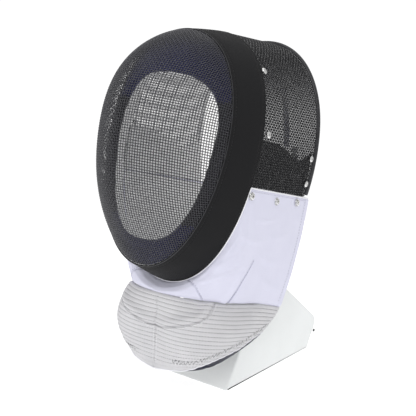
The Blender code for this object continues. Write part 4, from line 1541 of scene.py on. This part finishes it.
def make_stand():
    """Wedge with softly rounded edges on both sides."""
    base = stand_profile()
    full = rounded_outline(base, (0.0022, 0.0022, STAND_CORNER * 0.9, 0.0045))
    tangent = np.roll(full, -1, axis=0) - np.roll(full, 1, axis=0)
    inward = unit(np.stack([-tangent[:, 1], tangent[:, 0]], axis=-1))
    if ((np.mean(base, axis=0) - full) * inward).sum() < 0:
        inward = -inward
    half = STAND_WIDTH / 2

    def ring(x, inset):
        return np.insert(full + inward * inset, 0, x, axis=1)

    # From the rim of one side, over the edge, along the width and round the other edge.
    turns = np.linspace(0.0, math.pi / 2, 7)
    side = [
        ring(half - STAND_EDGE * (1 - math.cos(turn)), STAND_EDGE * (1 - math.sin(turn)))
        for turn in turns
    ]
    body = [ring(x, 0.0) for x in np.linspace(half - STAND_EDGE, -half + STAND_EDGE, 13)[1:-1]]
    grid = np.array(side + body + [points * (-1.0, 1.0, 1.0) for points in side[::-1]])
    faces = bar_faces(number_grid(*grid.shape[:2]))
    stand = face_outward(add_mesh("stand_shell", grid.reshape(-1, 3), faces, STAND, sharp=50))
    piece(stand, "stand_white", "stand")


def make_post():
    """Plain post from the stand to a rounded cap under the crown, and the stand's screw."""
    y = POST_BEHIND_CENTRE
    (rear_y, rear_z), (peak_y, peak_z) = stand_profile()[2:]
    low = rear_z + (peak_z - rear_z) * (y - POST_RADIUS - rear_y) / (peak_y - rear_y) + FIT * 2
    front, rear = hood_point(np.zeros(2), np.array([0.0, 1.0]))
    fall = (front[2] - rear[2]) / (rear[1] - front[1])
    crown = front[2] - fall * (y - front[1])
    cap = sized(CAP_OUTLINE, POST_CAP_RADIUS, POST_CAP_HEIGHT)
    need = max(max(radius * fall, radius ** 2 / RIM_WIDTH) - drop for radius, drop in cap)
    high = crown - MESH_WALL * math.hypot(1.0, fall) - FIT * 1.5 - need
    profile = [(radius, high - drop) for radius, drop in cap]
    profile += [
        (POST_RADIUS * 1.12, high - POST_CAP_HEIGHT * 1.3),
        (POST_RADIUS, high - POST_CAP_HEIGHT * 1.5),
        (POST_RADIUS, (high + low) / 2),
        (POST_RADIUS, low),
        (0.001, low),
    ]
    post = turned_mesh("post_tube", profile, [((0.0, y, 0.0), (0.0, 0.0, 1.0))], STAND, 40)
    piece(post, "stand_white", "stand_post")
    profile = sized(SCREW_OUTLINE, STAND_SCREW_RADIUS, STAND_SCREW_HEIGHT)
    place = (STAND_WIDTH / 2 + FIT, rear_y - STAND_SCREW_AHEAD, STAND_SCREW_UP)
    screw = turned_mesh("stand_screw_head", profile, [(place, (1.0, 0.0, 0.0))], MOULDED, 20)
    piece(screw, "dark_screw", "stand_screw")


# ---------------------------------------------------------------- scene


def make_camera():
    along_x, along_y = math.cos(CAMERA_TURN), math.sin(CAMERA_TURN)
    level_part = math.cos(CAMERA_RISE)
    back = Vector((along_y * level_part, -along_x * level_part, math.sin(CAMERA_RISE)))
    right = Vector((along_x, along_y, 0.0))
    target = Vector((0.0, -FACE_AHEAD_OF_STAND, FACE_ABOVE_FOOT - CAMERA_BELOW_FACE))
    data = bpy.data.cameras.new("camera")
    data.sensor_width = CAMERA_SENSOR
    data.lens = CAMERA_SENSOR * CAMERA_FOCAL_SHARE
    data.clip_start, data.clip_end = 0.05, 50.0
    camera = bpy.data.objects.new("camera", data)
    matrix = Matrix((right, back.cross(right), back)).transposed().to_4x4()
    matrix.translation = target + right * CAMERA_ASIDE + back * CAMERA_DISTANCE
    camera.matrix_world = matrix
    bpy.context.scene.collection.objects.link(camera)
    bpy.context.scene.camera = camera


def area_light(name, place, target, size, power):
    data = bpy.data.lights.new(name, "AREA")
    data.shape = "SQUARE"
    data.size = size
    data.energy = power
    thing = bpy.data.objects.new(name, data)
    thing.location = place
    thing.rotation_euler = (Vector(target) - Vector(place)).to_track_quat("-Z", "Y").to_euler()
    bpy.context.scene.collection.objects.link(thing)


def make_world():
    """Even room light. The white backdrop is lit more than the room is, as in a studio."""
    world = bpy.data.worlds.new("studio")
    world.use_nodes = True
    tree = world.node_tree
    backdrop = tree.nodes.new("ShaderNodeBackground")
    room = tree.nodes["Background"]
    for shade, strength in ((room, ROOM_LIGHT), (backdrop, BACKDROP_LIGHT)):
        shade.inputs["Color"].default_value = (1.0, 1.0, 1.0, 1.0)
        shade.inputs["Strength"].default_value = strength
    seen = tree.nodes.new("ShaderNodeLightPath")
    mix = tree.nodes.new("ShaderNodeMixShader")
    for source, socket in (
        (seen.outputs["Is Camera Ray"], mix.inputs[0]), (room.outputs[0], mix.inputs[1]),
        (backdrop.outputs[0], mix.inputs[2]),
        (mix.outputs[0], tree.nodes["World Output"].inputs["Surface"]),
    ):
        tree.links.new(source, socket)
    bpy.context.scene.world = world


def make_studio():
    bpy.context.scene.view_settings.view_transform = "Standard"
    make_world()
    paper = Finish("floor_paper", (0.60, 0.60, 0.60), 0.9, 0.0, 0.1)
    paper.shader.inputs["Emission Color"].default_value = (1.0, 1.0, 1.0, 1.0)
    paper.shader.inputs["Emission Strength"].default_value = 0.70
    paper.tones(paper.noise(3.0), 0.0, 1.0, (0.59, 0.59, 0.59), (0.61, 0.61, 0.61))
    turns = circle(FLOOR_STEPS)
    disc = FLOOR_RADIUS * np.stack([np.cos(turns), np.sin(turns), 0.0 * turns], axis=-1)
    floor = add_mesh("floor", disc, [list(range(FLOOR_STEPS))], paper.material)
    floor.location = (0.0, 0.0, -0.0002)
    target = (0.0, -0.08, 0.25)
    area_light("key", (0.9, -1.2, 1.6), target, 0.9, 7.0)
    area_light("fill", (-0.8, -1.6, 0.25), (0.0, -0.10, 0.10), 1.0, 5.0)
    area_light("top", (0.0, 0.2, 2.0), target, 1.4, 5.0)


make_wires()
make_band()
make_binding()
make_padding()
make_lining("lining_pad_right", "lining_right", 1.0)
make_lining("lining_pad_left", "lining_left", -1.0)
make_clip()
make_tongue()
make_bib()
make_lame()
make_studs()
make_stand()
make_post()
make_camera()
make_studio()
